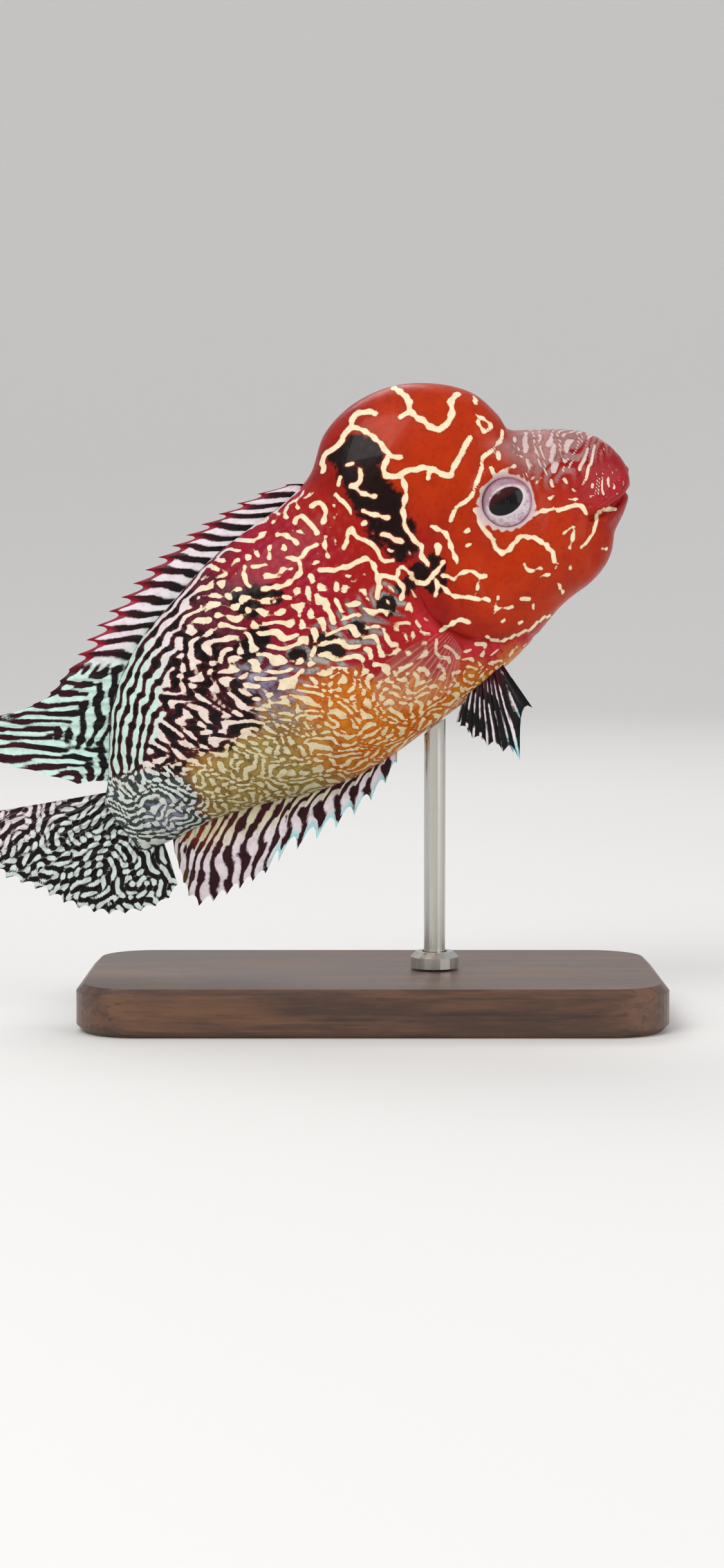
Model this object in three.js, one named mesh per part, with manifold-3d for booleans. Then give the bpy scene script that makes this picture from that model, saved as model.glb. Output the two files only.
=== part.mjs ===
// A flowerhorn cichlid, life size, nose up on a plain display stand.
//
// The fish is drawn in its own frame, in millimetres: x runs forward with 0 at the mouth, y to the fish's
// left and z towards its back. A turned group then lifts its nose by PITCH, and stands it over the base.
// The body is one loft of slanted ribs, parted into head, hump, jaw, trunk and tail by thin curved cuts.
// Each fin is a membrane with its rays raised as ridges, trimmed to the body it grows from.

import * as THREE from "three";
import { mergeVertices } from "three/addons/utils/BufferGeometryUtils.js";
import Module from "manifold-3d";

const wasm = await Module();
wasm.setup();

// Driving dimensions
const PITCH = THREE.MathUtils.degToRad(33); // nose up, as the fish lies in the photograph
const GAP = 0.3; // between neighbouring pieces
const MOUTH_HEIGHT = 77; // mouth above the floor
const MOUTH_AHEAD = 38; // mouth ahead of the middle of the base

// The loft's ribs, mouth to tail root. Each runs slanting from the back to the belly:
// back x, back z, belly x, belly z, half width, roundness above, roundness below, height of the widest place
const RIBS = [
  [2.4, 4.7, 1.9, 3.1, 0.9, 2.0, 2.0, 0.0],
  [2.3, 6.4, 0.7, 0.9, 2.9, 2.2, 2.2, 0.0],
  [1.7, 9.0, -1.6, -1.1, 4.2, 2.2, 2.3, -0.1],
  [0.3, 11.5, -4.3, -2.8, 5.2, 2.2, 2.4, -0.15],
  [-1.6, 13.4, -6.3, -5.0, 6.0, 2.2, 2.4, -0.2],
  [-4.0, 15.1, -8.6, -6.4, 6.8, 2.2, 2.4, -0.2],
  [-7.0, 16.9, -11.6, -7.2, 7.6, 2.2, 2.4, -0.25],
  [-9.4, 18.6, -14.8, -7.4, 8.2, 2.3, 2.3, -0.3],
  [-9.6, 21.4, -17.6, -7.9, 8.6, 2.5, 2.3, -0.35],
  [-11.0, 25.9, -20.2, -8.7, 8.9, 2.7, 2.2, -0.38],
  [-14.8, 30.0, -23.2, -9.6, 9.2, 2.8, 2.2, -0.4],
  [-20.2, 33.1, -26.4, -10.4, 9.5, 2.8, 2.2, -0.4],
  [-26.6, 34.1, -29.8, -11.0, 9.8, 2.7, 2.1, -0.38],
  [-32.6, 32.7, -33.6, -11.6, 10.0, 2.5, 2.1, -0.32],
  [-37.6, 28.9, -37.8, -12.0, 10.1, 2.2, 2.1, -0.2],
  [-43.0, 27.5, -43.2, -12.3, 10.0, 2.0, 2.1, -0.12],
  [-50.0, 27.1, -49.8, -12.7, 9.7, 1.9, 2.0, -0.08],
  [-57.0, 26.4, -56.2, -12.4, 9.1, 1.9, 1.9, -0.06],
  [-64.0, 24.6, -62.8, -11.0, 8.2, 1.9, 1.9, -0.05],
  [-71.1, 22.5, -69.2, -8.7, 7.0, 1.9, 1.9, -0.05],
  [-77.1, 19.4, -75.0, -6.9, 5.7, 1.9, 1.9, -0.05],
  [-81.9, 15.3, -79.4, -6.0, 4.6, 1.9, 1.9, -0.04],
  [-85.3, 10.6, -82.8, -5.6, 3.5, 2.0, 2.0, -0.02],
  [-88.0, 6.9, -86.0, -5.2, 2.3, 2.0, 2.0, 0.0],
  [-90.0, 5.0, -89.2, -4.6, 0.8, 2.0, 2.0, 0.0],
];
const STEPS_HEAD = 3; // loft steps from one rib to the next, up to the nape
const STEPS_TRUNK = 2; // and behind it
const NAPE_RIB = 14;
const END_CROWN = 0.5; // how far the loft's two ends bulge
const AROUND = 44; // corners round each loft step

// Eye and nostril
const EYE = { x: -15.9, z: 9.6, radius: 4.3, deep: 3.2, sunk: 1.6, orbit: 4.8 };
const NOSTRIL = { x: -5.6, z: 11.2, radius: 0.5, depth: 1.3 };

// The lines where the body is parted, seen from its side
const NAPE_CUT = [[-43, 36], [-38.8, 29], [-36.5, 24], [-32, 17], [-28.5, 12.5]];
const GILL_CUT = [
  [-31, 10.5], [-33.6, 6.5], [-34.2, 2], [-32.6, -2.4], [-29, -6.2], [-23.5, -8.8], [-19, -14],
];
const HUMP_CUT = [
  [-4, 18.9], [-9.4, 18.3], [-14, 17.4], [-20, 17.2], [-27, 19], [-33, 23], [-37.2, 28.2], [-42, 36],
];
const MOUTH_CUT = [
  [6, 3], [2, 1.5], [-1, 0.6], [-4, 0.5], [-6.6, 0.8], [-8.2, -1.4], [-9.8, -4.6], [-10.8, -12],
];
const TAIL_CUT = [[-79, 30], [-76.5, 12], [-75.5, 4], [-75.2, -3], [-76, -12]];

// Lines that the surface's forms follow, seen from its side
const CREASE = [[-9.4, 18.6], [-14, 17.4], [-20, 17.2]]; // under the hump's brow
const LIPS = [[2.4, 1.7], [-1, 0.6], [-4, 0.5], [-6.4, 0.7]]; // the mouth line, between raised lips

// Paired fins: where each one's root is, and how far it is turned out
const PELVIC = { apart: 2.6, splay: THREE.MathUtils.degToRad(22), hingeZ: -9 };
const PECTORAL = { x: -34.6, z: -2.6, away: THREE.MathUtils.degToRad(11) };

// Fin thicknesses, half of each
const RAY_ROOT = 0.62;
const RAY_TIP = 0.27;
const WEB_ROOT = 0.4;
const WEB_EDGE = 0.24;

// Stand
const BASE = { length: 86, width: 46, height: 7, corner: 9, bevel: 1.1 };
const ROD = { radius: 1.6, behindMouth: 28.7, top: 60 }; // its top, inside the body, is trimmed to the belly
const COLLAR = { radius: 3.6, height: 2.4 };

// A smooth value between the rows of a list of numbers, at a fractional row
function between(rows, at, column) {
  const last = rows.length - 1;
  const i = Math.min(Math.max(Math.floor(at), 0), last - 1);
  const t = at - i;
  const a = rows[Math.max(i - 1, 0)][column];
  const b = rows[i][column];
  const c = rows[i + 1][column];
  const d = rows[Math.min(i + 2, last)][column];
  return b + 0.5 * t * (c - a + t * (2 * a - 5 * b + 4 * c - d + t * (3 * (b - c) + d - a)));
}

const bump = (x, z, cx, cz, rx, rz) => Math.exp(-(((x - cx) / rx) ** 2) - ((z - cz) / rz) ** 2);

const ramp = (v, from, to) => THREE.MathUtils.smoothstep(v, from, to);

// How far a line of points is from a place, seen from the side
function distanceTo(line, x, z) {
  const p = new THREE.Vector2(x, z);
  let best = Infinity;
  for (let i = 1; i < line.length; i++) {
    const a = new THREE.Vector2(...line[i - 1]);
    const ab = new THREE.Vector2(...line[i]).sub(a);
    const t = THREE.MathUtils.clamp(p.clone().sub(a).dot(ab) / ab.lengthSq(), 0, 1);
    best = Math.min(best, a.addScaledVector(ab, t).distanceTo(p));
  }
  return best;
}

// What stands proud of the plain loft, or is sunk into it, at a place on the flank
function relief(x, z) {
  const eye = Math.hypot(x - EYE.x, z - EYE.z);
  const crease = distanceTo(CREASE, x, z);
  const lips = distanceTo(LIPS, x, z);
  return (
    0.9 * bump(x, z, -23, 25, 11, 7) -
    0.65 * Math.exp(-((crease / 2.2) ** 2)) * ramp(x, -22, -13) +
    0.45 * Math.exp(-(((eye - EYE.orbit) / 1.1) ** 2)) -
    0.7 * (1 - ramp(eye, 2.2, EYE.orbit)) -
    0.6 * bump(x, z, -8.5, 11, 3.5, 3.5) +
    0.5 * bump(x, z, -21, -1, 7, 5) +
    0.85 * Math.exp(-(((lips - 1.2) / 0.9) ** 2)) * ramp(x, -7.5, -5)
  );
}

// The gill cover swells towards its free edge
const gillSwell = (x, z) => 0.75 * ramp(-x, 20, 31) * (1 - ramp(z, 7, 13)) * ramp(z, -9, -5);

// A corner of the loft: rib and angle round it from the back, grown outwards by some millimetres
function loftPoint(rib, angle, grow, withGill) {
  const [bx, bz, vx, vz, width, above, below, widest] = RIBS[0].map((_, k) => between(RIBS, rib, k));
  const c = Math.cos(angle);
  const s = Math.sin(angle);
  const round = c > 0 ? above : below;
  const reach = c > 0 ? 1 - widest : 1 + widest;
  const up = widest + Math.sign(c) * reach * Math.abs(c) ** (2 / round);
  const out = Math.abs(s) ** (2 / round);
  const x = (bx + vx) / 2 + ((bx - vx) / 2) * up;
  const z = (bz + vz) / 2 + ((bz - vz) / 2) * up;
  let y = width * out + relief(x, z) * Math.min(1, out * 1.2) * out;
  if (withGill) y += gillSwell(x, z) * out;
  const tall = Math.hypot(bx - vx, bz - vz) / 2;
  const stretch = grow / tall;
  return [
    x + (bx - vx) / 2 * up * stretch,
    Math.sign(s) * (y + grow * out),
    z + (bz - vz) / 2 * up * stretch,
  ];
}

// The whole body as one closed loft
function bodyGeometry(grow, withGill) {
  const ribs = [];
  for (let i = 0; i < RIBS.length - 1; i++) {
    const steps = i < NAPE_RIB ? STEPS_HEAD : STEPS_TRUNK;
    for (let k = 0; k < steps; k++) ribs.push(i + k / steps);
  }
  ribs.push(RIBS.length - 1);
  const position = [];
  for (const rib of ribs)
    for (let k = 0; k < AROUND; k++)
      position.push(...loftPoint(rib, (2 * Math.PI * (k + 0.5)) / AROUND, grow, withGill));
  const index = [];
  for (let i = 0; i < ribs.length - 1; i++)
    for (let k = 0; k < AROUND; k++) {
      const a = i * AROUND + k;
      const b = i * AROUND + ((k + 1) % AROUND);
      index.push(a, b, a + AROUND, b, b + AROUND, a + AROUND);
    }
  for (const [start, turn] of [[0, 1], [(ribs.length - 1) * AROUND, -1]]) {
    const middle = position.length / 3;
    const ring = position.slice(start * 3, (start + AROUND) * 3);
    const mean = (axis) => ring.filter((_, j) => j % 3 === axis).reduce((m, v) => m + v) / AROUND;
    const centre = [0, 1, 2].map(mean);
    centre[0] += turn * (END_CROWN + grow);
    position.push(...centre);
    for (let k = 0; k < AROUND; k++) {
      const a = start + k;
      const b = start + ((k + 1) % AROUND);
      index.push(...(turn > 0 ? [middle, b, a] : [middle, a, b]));
    }
  }
  return new THREE.BufferGeometry()
    .setAttribute("position", new THREE.Float32BufferAttribute(position, 3))
    .setIndex(index);
}

// A geometry as a solid, and back
function solidOf(geometry) {
  const bare = geometry.clone();
  bare.deleteAttribute("normal");
  bare.deleteAttribute("uv");
  const merged = mergeVertices(bare, 1e-4);
  return new wasm.Manifold(
    new wasm.Mesh({
      numProp: 3,
      vertProperties: new Float32Array(merged.attributes.position.array),
      triVerts: new Uint32Array(merged.index.array),
    }),
  );
}

// The largest closed surface of a solid
function geometryOf(solid) {
  const body = solid.decompose().sort((a, b) => b.volume() - a.volume())[0];
  const mesh = body.getMesh();
  const geometry = new THREE.BufferGeometry()
    .setAttribute("position", new THREE.BufferAttribute(mesh.vertProperties, 3))
    .setIndex(new THREE.BufferAttribute(mesh.triVerts, 1));
  geometry.computeVertexNormals();
  return geometry;
}

const smoothLine = (points, steps) =>
  new THREE.CatmullRomCurve3(points.map(([x, z]) => new THREE.Vector3(x, z, 0)), false, "centripetal")
    .getPoints(steps)
    .map((p) => new THREE.Vector2(p.x, p.y));

// One side of a cut: its line moved sideways by half the gap, closed round far corners, and wide as the fish
function cutSide(points, side, corners) {
  const line = smoothLine(points, 4 * points.length);
  const moved = line.map((p, i) => {
    const along = line[Math.min(i + 1, line.length - 1)].clone().sub(line[Math.max(i - 1, 0)]).normalize();
    return new THREE.Vector2(p.x - (side * along.y * GAP) / 2, p.y + (side * along.x * GAP) / 2);
  });
  const shape = new THREE.Shape([...moved, ...corners.map((c) => new THREE.Vector2(...c))]);
  const wide = 60;
  const block = new THREE.ExtrudeGeometry(shape, { depth: wide, bevelEnabled: false });
  return solidOf(block.rotateX(Math.PI / 2).translate(0, wide / 2, 0));
}

// A fin's closed membrane. Columns run from root to edge, and every other one is a ray.
function finGeometry(columns, steps, sway) {
  const across = columns.length;
  const faces = [1, -1].map((side) =>
    columns.map((column, i) =>
      Array.from({ length: steps + 1 }, (_, k) => {
        const v = k / steps;
        const [rootX, rootZ] = column.root;
        const [tipX, tipZ] = column.tip;
        const bow = (column.bow ?? 0) * Math.sin(Math.PI * v);
        const root = column.ray ? RAY_ROOT : WEB_ROOT;
        const edge = column.ray ? RAY_TIP : WEB_EDGE;
        const half = (root + (edge - root) * v) * (column.thick ?? 1);
        return [
          rootX + (tipX - rootX) * v,
          sway(i / (across - 1), v) + side * half,
          rootZ + (tipZ - rootZ) * v + bow,
        ];
      }),
    ),
  );
  const position = faces.flat(3);
  const at = (side, i, k) => side * across * (steps + 1) + i * (steps + 1) + k;
  const index = [];
  const quad = (a, b, c, d) => index.push(a, b, c, a, c, d);
  for (let i = 0; i < across - 1; i++)
    for (let k = 0; k < steps; k++) {
      quad(at(0, i, k), at(0, i + 1, k), at(0, i + 1, k + 1), at(0, i, k + 1));
      const [a, b, c, d] = [at(1, i, k), at(1, i + 1, k), at(1, i + 1, k + 1), at(1, i, k + 1)];
      index.push(a, c, b, a, d, c);
    }
  for (let i = 0; i < across - 1; i++) {
    quad(at(0, i, steps), at(0, i + 1, steps), at(1, i + 1, steps), at(1, i, steps));
    quad(at(0, i + 1, 0), at(0, i, 0), at(1, i, 0), at(1, i + 1, 0));
  }
  for (let k = 0; k < steps; k++) {
    quad(at(0, 0, k), at(0, 0, k + 1), at(1, 0, k + 1), at(1, 0, k));
    quad(at(0, across - 1, k + 1), at(0, across - 1, k), at(1, across - 1, k), at(1, across - 1, k + 1));
  }
  return new THREE.BufferGeometry()
    .setAttribute("position", new THREE.Float32BufferAttribute(position, 3))
    .setIndex(index);
}

// Rays with the web between them, whose edge is notched back from the ray tips
function withWebs(rays) {
  const columns = [];
  rays.forEach((ray, i) => {
    columns.push({ ...ray, ray: true });
    if (i === rays.length - 1) return;
    const next = rays[i + 1];
    const middle = (p, q) => [(p[0] + q[0]) / 2, (p[1] + q[1]) / 2];
    const root = middle(ray.root, next.root);
    const tip = middle(ray.tip, next.tip);
    const cut = 1 - (ray.notch + next.notch) / 2;
    columns.push({
      root,
      tip: [root[0] + (tip[0] - root[0]) * cut, root[1] + (tip[1] - root[1]) * cut],
      bow: ((ray.bow ?? 0) + (next.bow ?? 0)) / 2,
      ray: false,
    });
  });
  return columns;
}

// A closed solid made whichever way round its faces came
function facingOut(geometry) {
  const p = geometry.attributes.position;
  const index = geometry.index.array;
  const [a, b, c] = [new THREE.Vector3(), new THREE.Vector3(), new THREE.Vector3()];
  let volume = 0;
  for (let i = 0; i < index.length; i += 3) {
    a.fromBufferAttribute(p, index[i]);
    b.fromBufferAttribute(p, index[i + 1]);
    c.fromBufferAttribute(p, index[i + 2]);
    volume += a.dot(b.cross(c));
  }
  if (volume < 0)
    for (let i = 0; i < index.length; i += 3) [index[i + 1], index[i + 2]] = [index[i + 2], index[i + 1]];
  return geometry;
}

// A place on the back or belly line, at a fractional rib
const backAt = (rib) => [between(RIBS, rib, 0), between(RIBS, rib, 1)];
const bellyAt = (rib) => [between(RIBS, rib, 2), between(RIBS, rib, 3)];

// The point of an outline a share of the way along it
const along = (line, share) => {
  const p = new THREE.CatmullRomCurve3(line.map(([x, z]) => new THREE.Vector3(x, z, 0)), false, "centripetal")
    .getPointAt(share);
  return [p.x, p.y];
};

const sink = ([x, z], dx, dz) => [x + dx, z + dz];

// Dorsal fin: low folded spines, then soft rays that trail out over the tail
function dorsalRays() {
  const SPINES = 15;
  const SOFT = 12;
  const FIRST_RIB = 14.35;
  const SOFT_RIB = 19.9;
  const LAST_RIB = 23;
  const SPINE_LENGTH = 8.2;
  const softLength = [8.3, 9, 9.8, 11.8, 16.4, 22, 25.2, 24.2, 19.4, 13.6, 8.4, 4.4];
  const rays = [];
  for (let i = 0; i < SPINES + SOFT; i++) {
    const spine = i < SPINES;
    const t = spine ? i / SPINES : (i - SPINES) / (SOFT - 1);
    const [from, to] = spine ? [FIRST_RIB, SOFT_RIB] : [SOFT_RIB, LAST_RIB];
    const foot = backAt(from + (to - from) * t);
    const length = spine ? SPINE_LENGTH * (1 - 0.68 * Math.exp(-i / 1.5)) : softLength[i - SPINES];
    const lean = THREE.MathUtils.degToRad(spine ? 35 - 2 * t : 33);
    const tip = sink(foot, -length * Math.cos(lean), length * Math.sin(lean));
    const root = sink(foot, 2.2 * Math.cos(lean), -2.2 * Math.sin(lean));
    rays.push({ root, tip, notch: spine ? 0.22 : 0.05, bow: spine ? 0.25 : 0.5 });
  }
  return rays;
}

// Anal fin: eight short spines with free tips, then soft rays
function analRays() {
  const SPINES = 8;
  const SOFT = 10;
  const spineEdge = [[-50.2, -14.2], [-54.9, -16.3], [-61.5, -17.2], [-69.7, -16.8], [-73, -16.8]];
  const softEdge = [[-75.6, -17.2], [-80.6, -17], [-86.7, -15.9], [-86.9, -12.5], [-85.4, -7.4]];
  const rays = [];
  for (let i = 0; i < SPINES + SOFT; i++) {
    const spine = i < SPINES;
    const t = spine ? i / (SPINES - 1) : (i - SPINES) / (SOFT - 1);
    const foot = spine ? bellyAt(15.9 + 2.6 * t) : bellyAt(18.75 + 3.75 * t);
    const tip = along(spine ? spineEdge : softEdge, t);
    const d = new THREE.Vector2(tip[0] - foot[0], tip[1] - foot[1]).normalize();
    rays.push({ root: sink(foot, -2 * d.x, -2 * d.y), tip, notch: spine ? 0.24 : 0.08, bow: 0 });
  }
  return rays;
}

// Tail fin: a round fan, its lower corner dropped a little
function caudalRays() {
  const COUNT = 18;
  const edge = [
    [-105.4, 12.9], [-109, 10.4], [-110, 7], [-108.9, 3.6], [-106.3, 0.2], [-104.2, -3.2], [-101.6, -6.8],
    [-98, -9.9], [-93.4, -12], [-89.6, -12.4], [-87.4, -11.4],
  ];
  const rays = [];
  for (let i = 0; i < COUNT; i++) {
    const t = i / (COUNT - 1);
    const root = [-86.6 + 0.9 * t, 4.9 - 9.6 * t];
    rays.push({ root, tip: along(edge, t), notch: 0.05, bow: 0 });
  }
  return rays;
}

// Pelvic fin: a spine and five rays, the first drawn out to a point
function pelvicRays() {
  const tips = [
    [-28.8, -18.4], [-34.6, -24.1], [-36.0, -21.5], [-37.5, -19.5], [-38.7, -17.2], [-39.4, -14.6],
  ];
  return tips.map((tip, i) => {
    const t = i / (tips.length - 1);
    return { root: [-29.0 - 4.4 * t, -8.6 - 0.6 * t], tip, notch: i < 2 ? 0.2 : 0.1, bow: 0 };
  });
}

// Pectoral fin: a clear rounded fan, its root upright behind the gill cover
function pectoralRays() {
  const ROOT_HEIGHT = 4.2;
  const lengths = [10.5, 13.6, 15.2, 15.6, 15.1, 14, 12.6, 11.1, 9.6, 8.2, 6.9, 5.7];
  return lengths.map((length, i) => {
    const t = i / (lengths.length - 1);
    const lean = THREE.MathUtils.degToRad(2 - 50 * t);
    const root = [1.6, ROOT_HEIGHT * (0.5 - t)];
    const tip = [root[0] - length * Math.cos(lean), root[1] + length * Math.sin(lean)];
    return { root, tip, notch: 0.06, bow: 0 };
  });
}

const skinAround = solidOf(bodyGeometry(GAP, true));

// A fin in the fish's own plane, trimmed to the body
function medianFin(rays, steps, sway) {
  return geometryOf(solidOf(facingOut(finGeometry(withWebs(rays), steps, sway))).subtract(skinAround));
}

// A paired fin: flat, then turned and set on its side of the fish, and trimmed
function pairedFin(rays, steps, place) {
  const flat = finGeometry(withWebs(rays), steps, (u, v) => 0.5 * Math.sin(2.6 * u) * v * v);
  return geometryOf(solidOf(facingOut(flat.applyMatrix4(place))).subtract(skinAround));
}

// Materials
const finish = (color, roughness, metalness = 0) =>
  new THREE.MeshStandardMaterial({ color, roughness, metalness });
const MATERIALS = {
  head: finish("#b3260f", 0.35),
  flank: finish("#8f6a4a", 0.38),
  fin: finish("#7f8f8a", 0.4),
  clear_fin: finish("#d8d2c4", 0.3),
  eye: finish("#120c0c", 0.08),
  wood: finish("#3a2418", 0.5),
  rod: finish("#b9b6ae", 0.3, 1),
};

const object = new THREE.Group();
const fish = new THREE.Group();
fish.rotation.y = -PITCH;
fish.position.set(MOUTH_AHEAD, 0, MOUTH_HEIGHT);
object.add(fish);

function addTo(group, name, geometry, material) {
  const mesh = new THREE.Mesh(geometry, material);
  mesh.name = name;
  group.add(mesh);
  return mesh;
}

// Half width of the body at the point of its loft that lies nearest to a place on the flank
function flankAt(x, z, withGill = true) {
  let best = { far: Infinity, y: 0 };
  for (let rib = 0; rib < RIBS.length - 1; rib += 0.1)
    for (let a = 0.02; a < Math.PI; a += 0.02) {
      const [px, py, pz] = loftPoint(rib, a, 0, withGill);
      const far = Math.hypot(px - x, pz - z);
      if (far < best.far) best = { far, y: py };
    }
  return best.y;
}

// Body
const bodyHead = solidOf(bodyGeometry(0, true));
const bodyTrunk = solidOf(bodyGeometry(0, false));
const HEAD_LINE = [...NAPE_CUT, ...GILL_CUT];
const FRONT = [[40, -60], [40, 60]];
const REAR = [[-160, -60], [-160, 60]];
const frontOfGill = cutSide(HEAD_LINE, 1, FRONT);
const behindGill = cutSide(HEAD_LINE, -1, REAR);
const aboveHumpCut = cutSide(HUMP_CUT, -1, [[-30, 60], [-4, 60]]);
const belowHumpCut = cutSide(HUMP_CUT, 1, [[-160, 36], [-160, -60], [60, -60], [60, 18.9]]);
const insideJawCut = cutSide(MOUTH_CUT, 1, [[20, -12]]);
const outsideJawCut = cutSide(MOUTH_CUT, -1, [[-60, -12], [-60, 60], [40, 60], [40, 3]]);
const aheadOfTail = cutSide(TAIL_CUT, 1, FRONT);
const behindTailCut = cutSide(TAIL_CUT, -1, REAR);

const eyeDepth = flankAt(EYE.x, EYE.z) - EYE.sunk;
const eyeBall = (side, grow) =>
  new THREE.SphereGeometry(1, 18, 11)
    .scale(EYE.radius + grow, EYE.deep + grow, EYE.radius + grow)
    .translate(EYE.x, side * eyeDepth, EYE.z);
const nostrilDepth = flankAt(NOSTRIL.x, NOSTRIL.z);
const nostrilPit = (side) =>
  new THREE.CylinderGeometry(NOSTRIL.radius, NOSTRIL.radius, 2 * NOSTRIL.depth, 10)
    .translate(NOSTRIL.x, side * nostrilDepth, NOSTRIL.z);

let head = bodyHead.intersect(frontOfGill).intersect(belowHumpCut).intersect(outsideJawCut);
for (const side of [1, -1]) {
  head = head.subtract(solidOf(eyeBall(side, GAP)));
  head = head.subtract(solidOf(nostrilPit(side)));
}
addTo(fish, "head", geometryOf(head), MATERIALS.head);
const hump = bodyHead.intersect(frontOfGill).intersect(aboveHumpCut);
addTo(fish, "nuchal_hump", geometryOf(hump), MATERIALS.head);
addTo(fish, "lower_jaw", geometryOf(bodyHead.intersect(insideJawCut)), MATERIALS.head);
addTo(fish, "trunk", geometryOf(bodyTrunk.intersect(behindGill).intersect(aheadOfTail)), MATERIALS.flank);
addTo(fish, "tail", geometryOf(bodyTrunk.intersect(behindTailCut)), MATERIALS.flank);
addTo(fish, "eye_left", eyeBall(1, 0), MATERIALS.eye);
addTo(fish, "eye_right", eyeBall(-1, 0), MATERIALS.eye);

// Fins
addTo(fish, "dorsal_fin", medianFin(dorsalRays(), 6, (u, v) => 0.9 * Math.sin(5 * u) * v * v), MATERIALS.fin);
addTo(fish, "anal_fin", medianFin(analRays(), 5, (u, v) => -0.7 * Math.sin(4.5 * u) * v * v), MATERIALS.fin);
addTo(fish, "caudal_fin", medianFin(caudalRays(), 8, (u, v) => 1.6 * v * v * Math.cos(3 * u)), MATERIALS.fin);

for (const [side, word] of [[1, "left"], [-1, "right"]]) {
  const hinge = new THREE.Matrix4().makeTranslation(0, side * PELVIC.apart, PELVIC.hingeZ);
  const pelvicPlace = hinge
    .multiply(new THREE.Matrix4().makeRotationX(side * PELVIC.splay))
    .multiply(new THREE.Matrix4().makeTranslation(0, 0, -PELVIC.hingeZ));
  addTo(fish, "pelvic_fin_" + word, pairedFin(pelvicRays(), 6, pelvicPlace), MATERIALS.fin);
  const flank = flankAt(PECTORAL.x, PECTORAL.z, false);
  const pectoralPlace = new THREE.Matrix4()
    .makeTranslation(PECTORAL.x, side * flank, PECTORAL.z)
    .multiply(new THREE.Matrix4().makeRotationZ(-side * PECTORAL.away));
  addTo(fish, "pectoral_fin_" + word, pairedFin(pectoralRays(), 6, pectoralPlace), MATERIALS.clear_fin);
}

// Stand
function baseGeometry() {
  const { length, width, height, corner, bevel } = BASE;
  const half = [length / 2 - bevel, width / 2 - bevel];
  const r = corner - bevel;
  const shape = new THREE.Shape();
  shape.moveTo(-half[0] + r, -half[1]);
  shape.lineTo(half[0] - r, -half[1]);
  shape.absarc(half[0] - r, -half[1] + r, r, -Math.PI / 2, 0);
  shape.absarc(half[0] - r, half[1] - r, r, 0, Math.PI / 2);
  shape.absarc(-half[0] + r, half[1] - r, r, Math.PI / 2, Math.PI);
  shape.absarc(-half[0] + r, -half[1] + r, r, Math.PI, 1.5 * Math.PI);
  const options = { depth: height - 2 * bevel, bevelThickness: bevel, bevelSize: bevel, bevelSegments: 1 };
  return new THREE.ExtrudeGeometry(shape, { ...options, curveSegments: 6 }).translate(0, 0, bevel);
}

const rodX = MOUTH_AHEAD - ROD.behindMouth;
const rodLength = ROD.top - BASE.height - GAP;
const rodBlank = new THREE.CylinderGeometry(ROD.radius, ROD.radius, rodLength, 24)
  .rotateX(Math.PI / 2)
  .translate(rodX, 0, BASE.height + GAP + rodLength / 2);
fish.updateMatrix();
const skinInPlace = solidOf(bodyGeometry(GAP, true).applyMatrix4(fish.matrix));
const rodParts = solidOf(rodBlank).subtract(skinInPlace).decompose();
const rodBelow = rodParts.sort((a, b) => a.boundingBox().min[2] - b.boundingBox().min[2])[0];
addTo(object, "stand_rod", geometryOf(rodBelow), MATERIALS.rod);

const inner = ROD.radius + GAP;
const collarProfile = [
  [inner, 0],
  [COLLAR.radius, 0],
  [COLLAR.radius, COLLAR.height - 0.8],
  [COLLAR.radius - 0.8, COLLAR.height],
  [inner, COLLAR.height],
  [inner, 0],
].map(([r, z]) => new THREE.Vector2(r, z));
const collar = addTo(object, "stand_collar", new THREE.LatheGeometry(collarProfile, 28), MATERIALS.rod);
collar.rotation.x = Math.PI / 2;
collar.position.set(rodX, 0, BASE.height + GAP);
addTo(object, "stand_base", baseGeometry(), MATERIALS.wood);

export default object;
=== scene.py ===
"""Looks of a flowerhorn cichlid display model.

One patterned skin over head, hump, jaw, trunk and tail, two eyes, seven rayed fins, the finishes of the
stand, and a soft studio. Shapes are worked out in millimetres in the fish's own frame, with x forward and 0
at the mouth, y to its left and z towards its back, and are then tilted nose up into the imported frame.
"""

import functools
import math
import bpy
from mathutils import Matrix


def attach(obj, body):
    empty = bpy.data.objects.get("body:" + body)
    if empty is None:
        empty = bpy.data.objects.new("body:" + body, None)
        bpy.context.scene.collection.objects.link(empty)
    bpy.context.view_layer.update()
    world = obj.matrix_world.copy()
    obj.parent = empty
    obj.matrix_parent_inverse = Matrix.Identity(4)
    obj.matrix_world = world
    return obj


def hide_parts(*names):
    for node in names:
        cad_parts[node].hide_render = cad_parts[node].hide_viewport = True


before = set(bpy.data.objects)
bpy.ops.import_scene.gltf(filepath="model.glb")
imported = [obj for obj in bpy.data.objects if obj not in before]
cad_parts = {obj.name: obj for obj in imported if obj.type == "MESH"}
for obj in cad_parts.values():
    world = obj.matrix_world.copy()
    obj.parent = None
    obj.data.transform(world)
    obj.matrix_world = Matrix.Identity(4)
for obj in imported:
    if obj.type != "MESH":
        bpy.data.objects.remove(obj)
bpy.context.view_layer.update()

from types import SimpleNamespace

import bpy
import numpy as np
from bpy.props import FloatProperty, FloatVectorProperty, IntProperty, PointerProperty
from bpy.types import Operator, Panel, PropertyGroup

bl_info = {
    "name": "Flowerhorn cichlid display model",
    "version": (1, 0, 0),
    "blender": (4, 5, 0),
    "location": "3D View > Sidebar > Flowerhorn",
    "description": "Builds the skin, eyes, fins and stand finishes of a life-size flowerhorn cichlid",
    "category": "Object",
}

# Sizes shared with the solids, in millimetres
PITCH = math.radians(33)
MOUTH_AHEAD = 38.0
MOUTH_HEIGHT = 77.0
MM_PER_METRE = 1000

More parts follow.
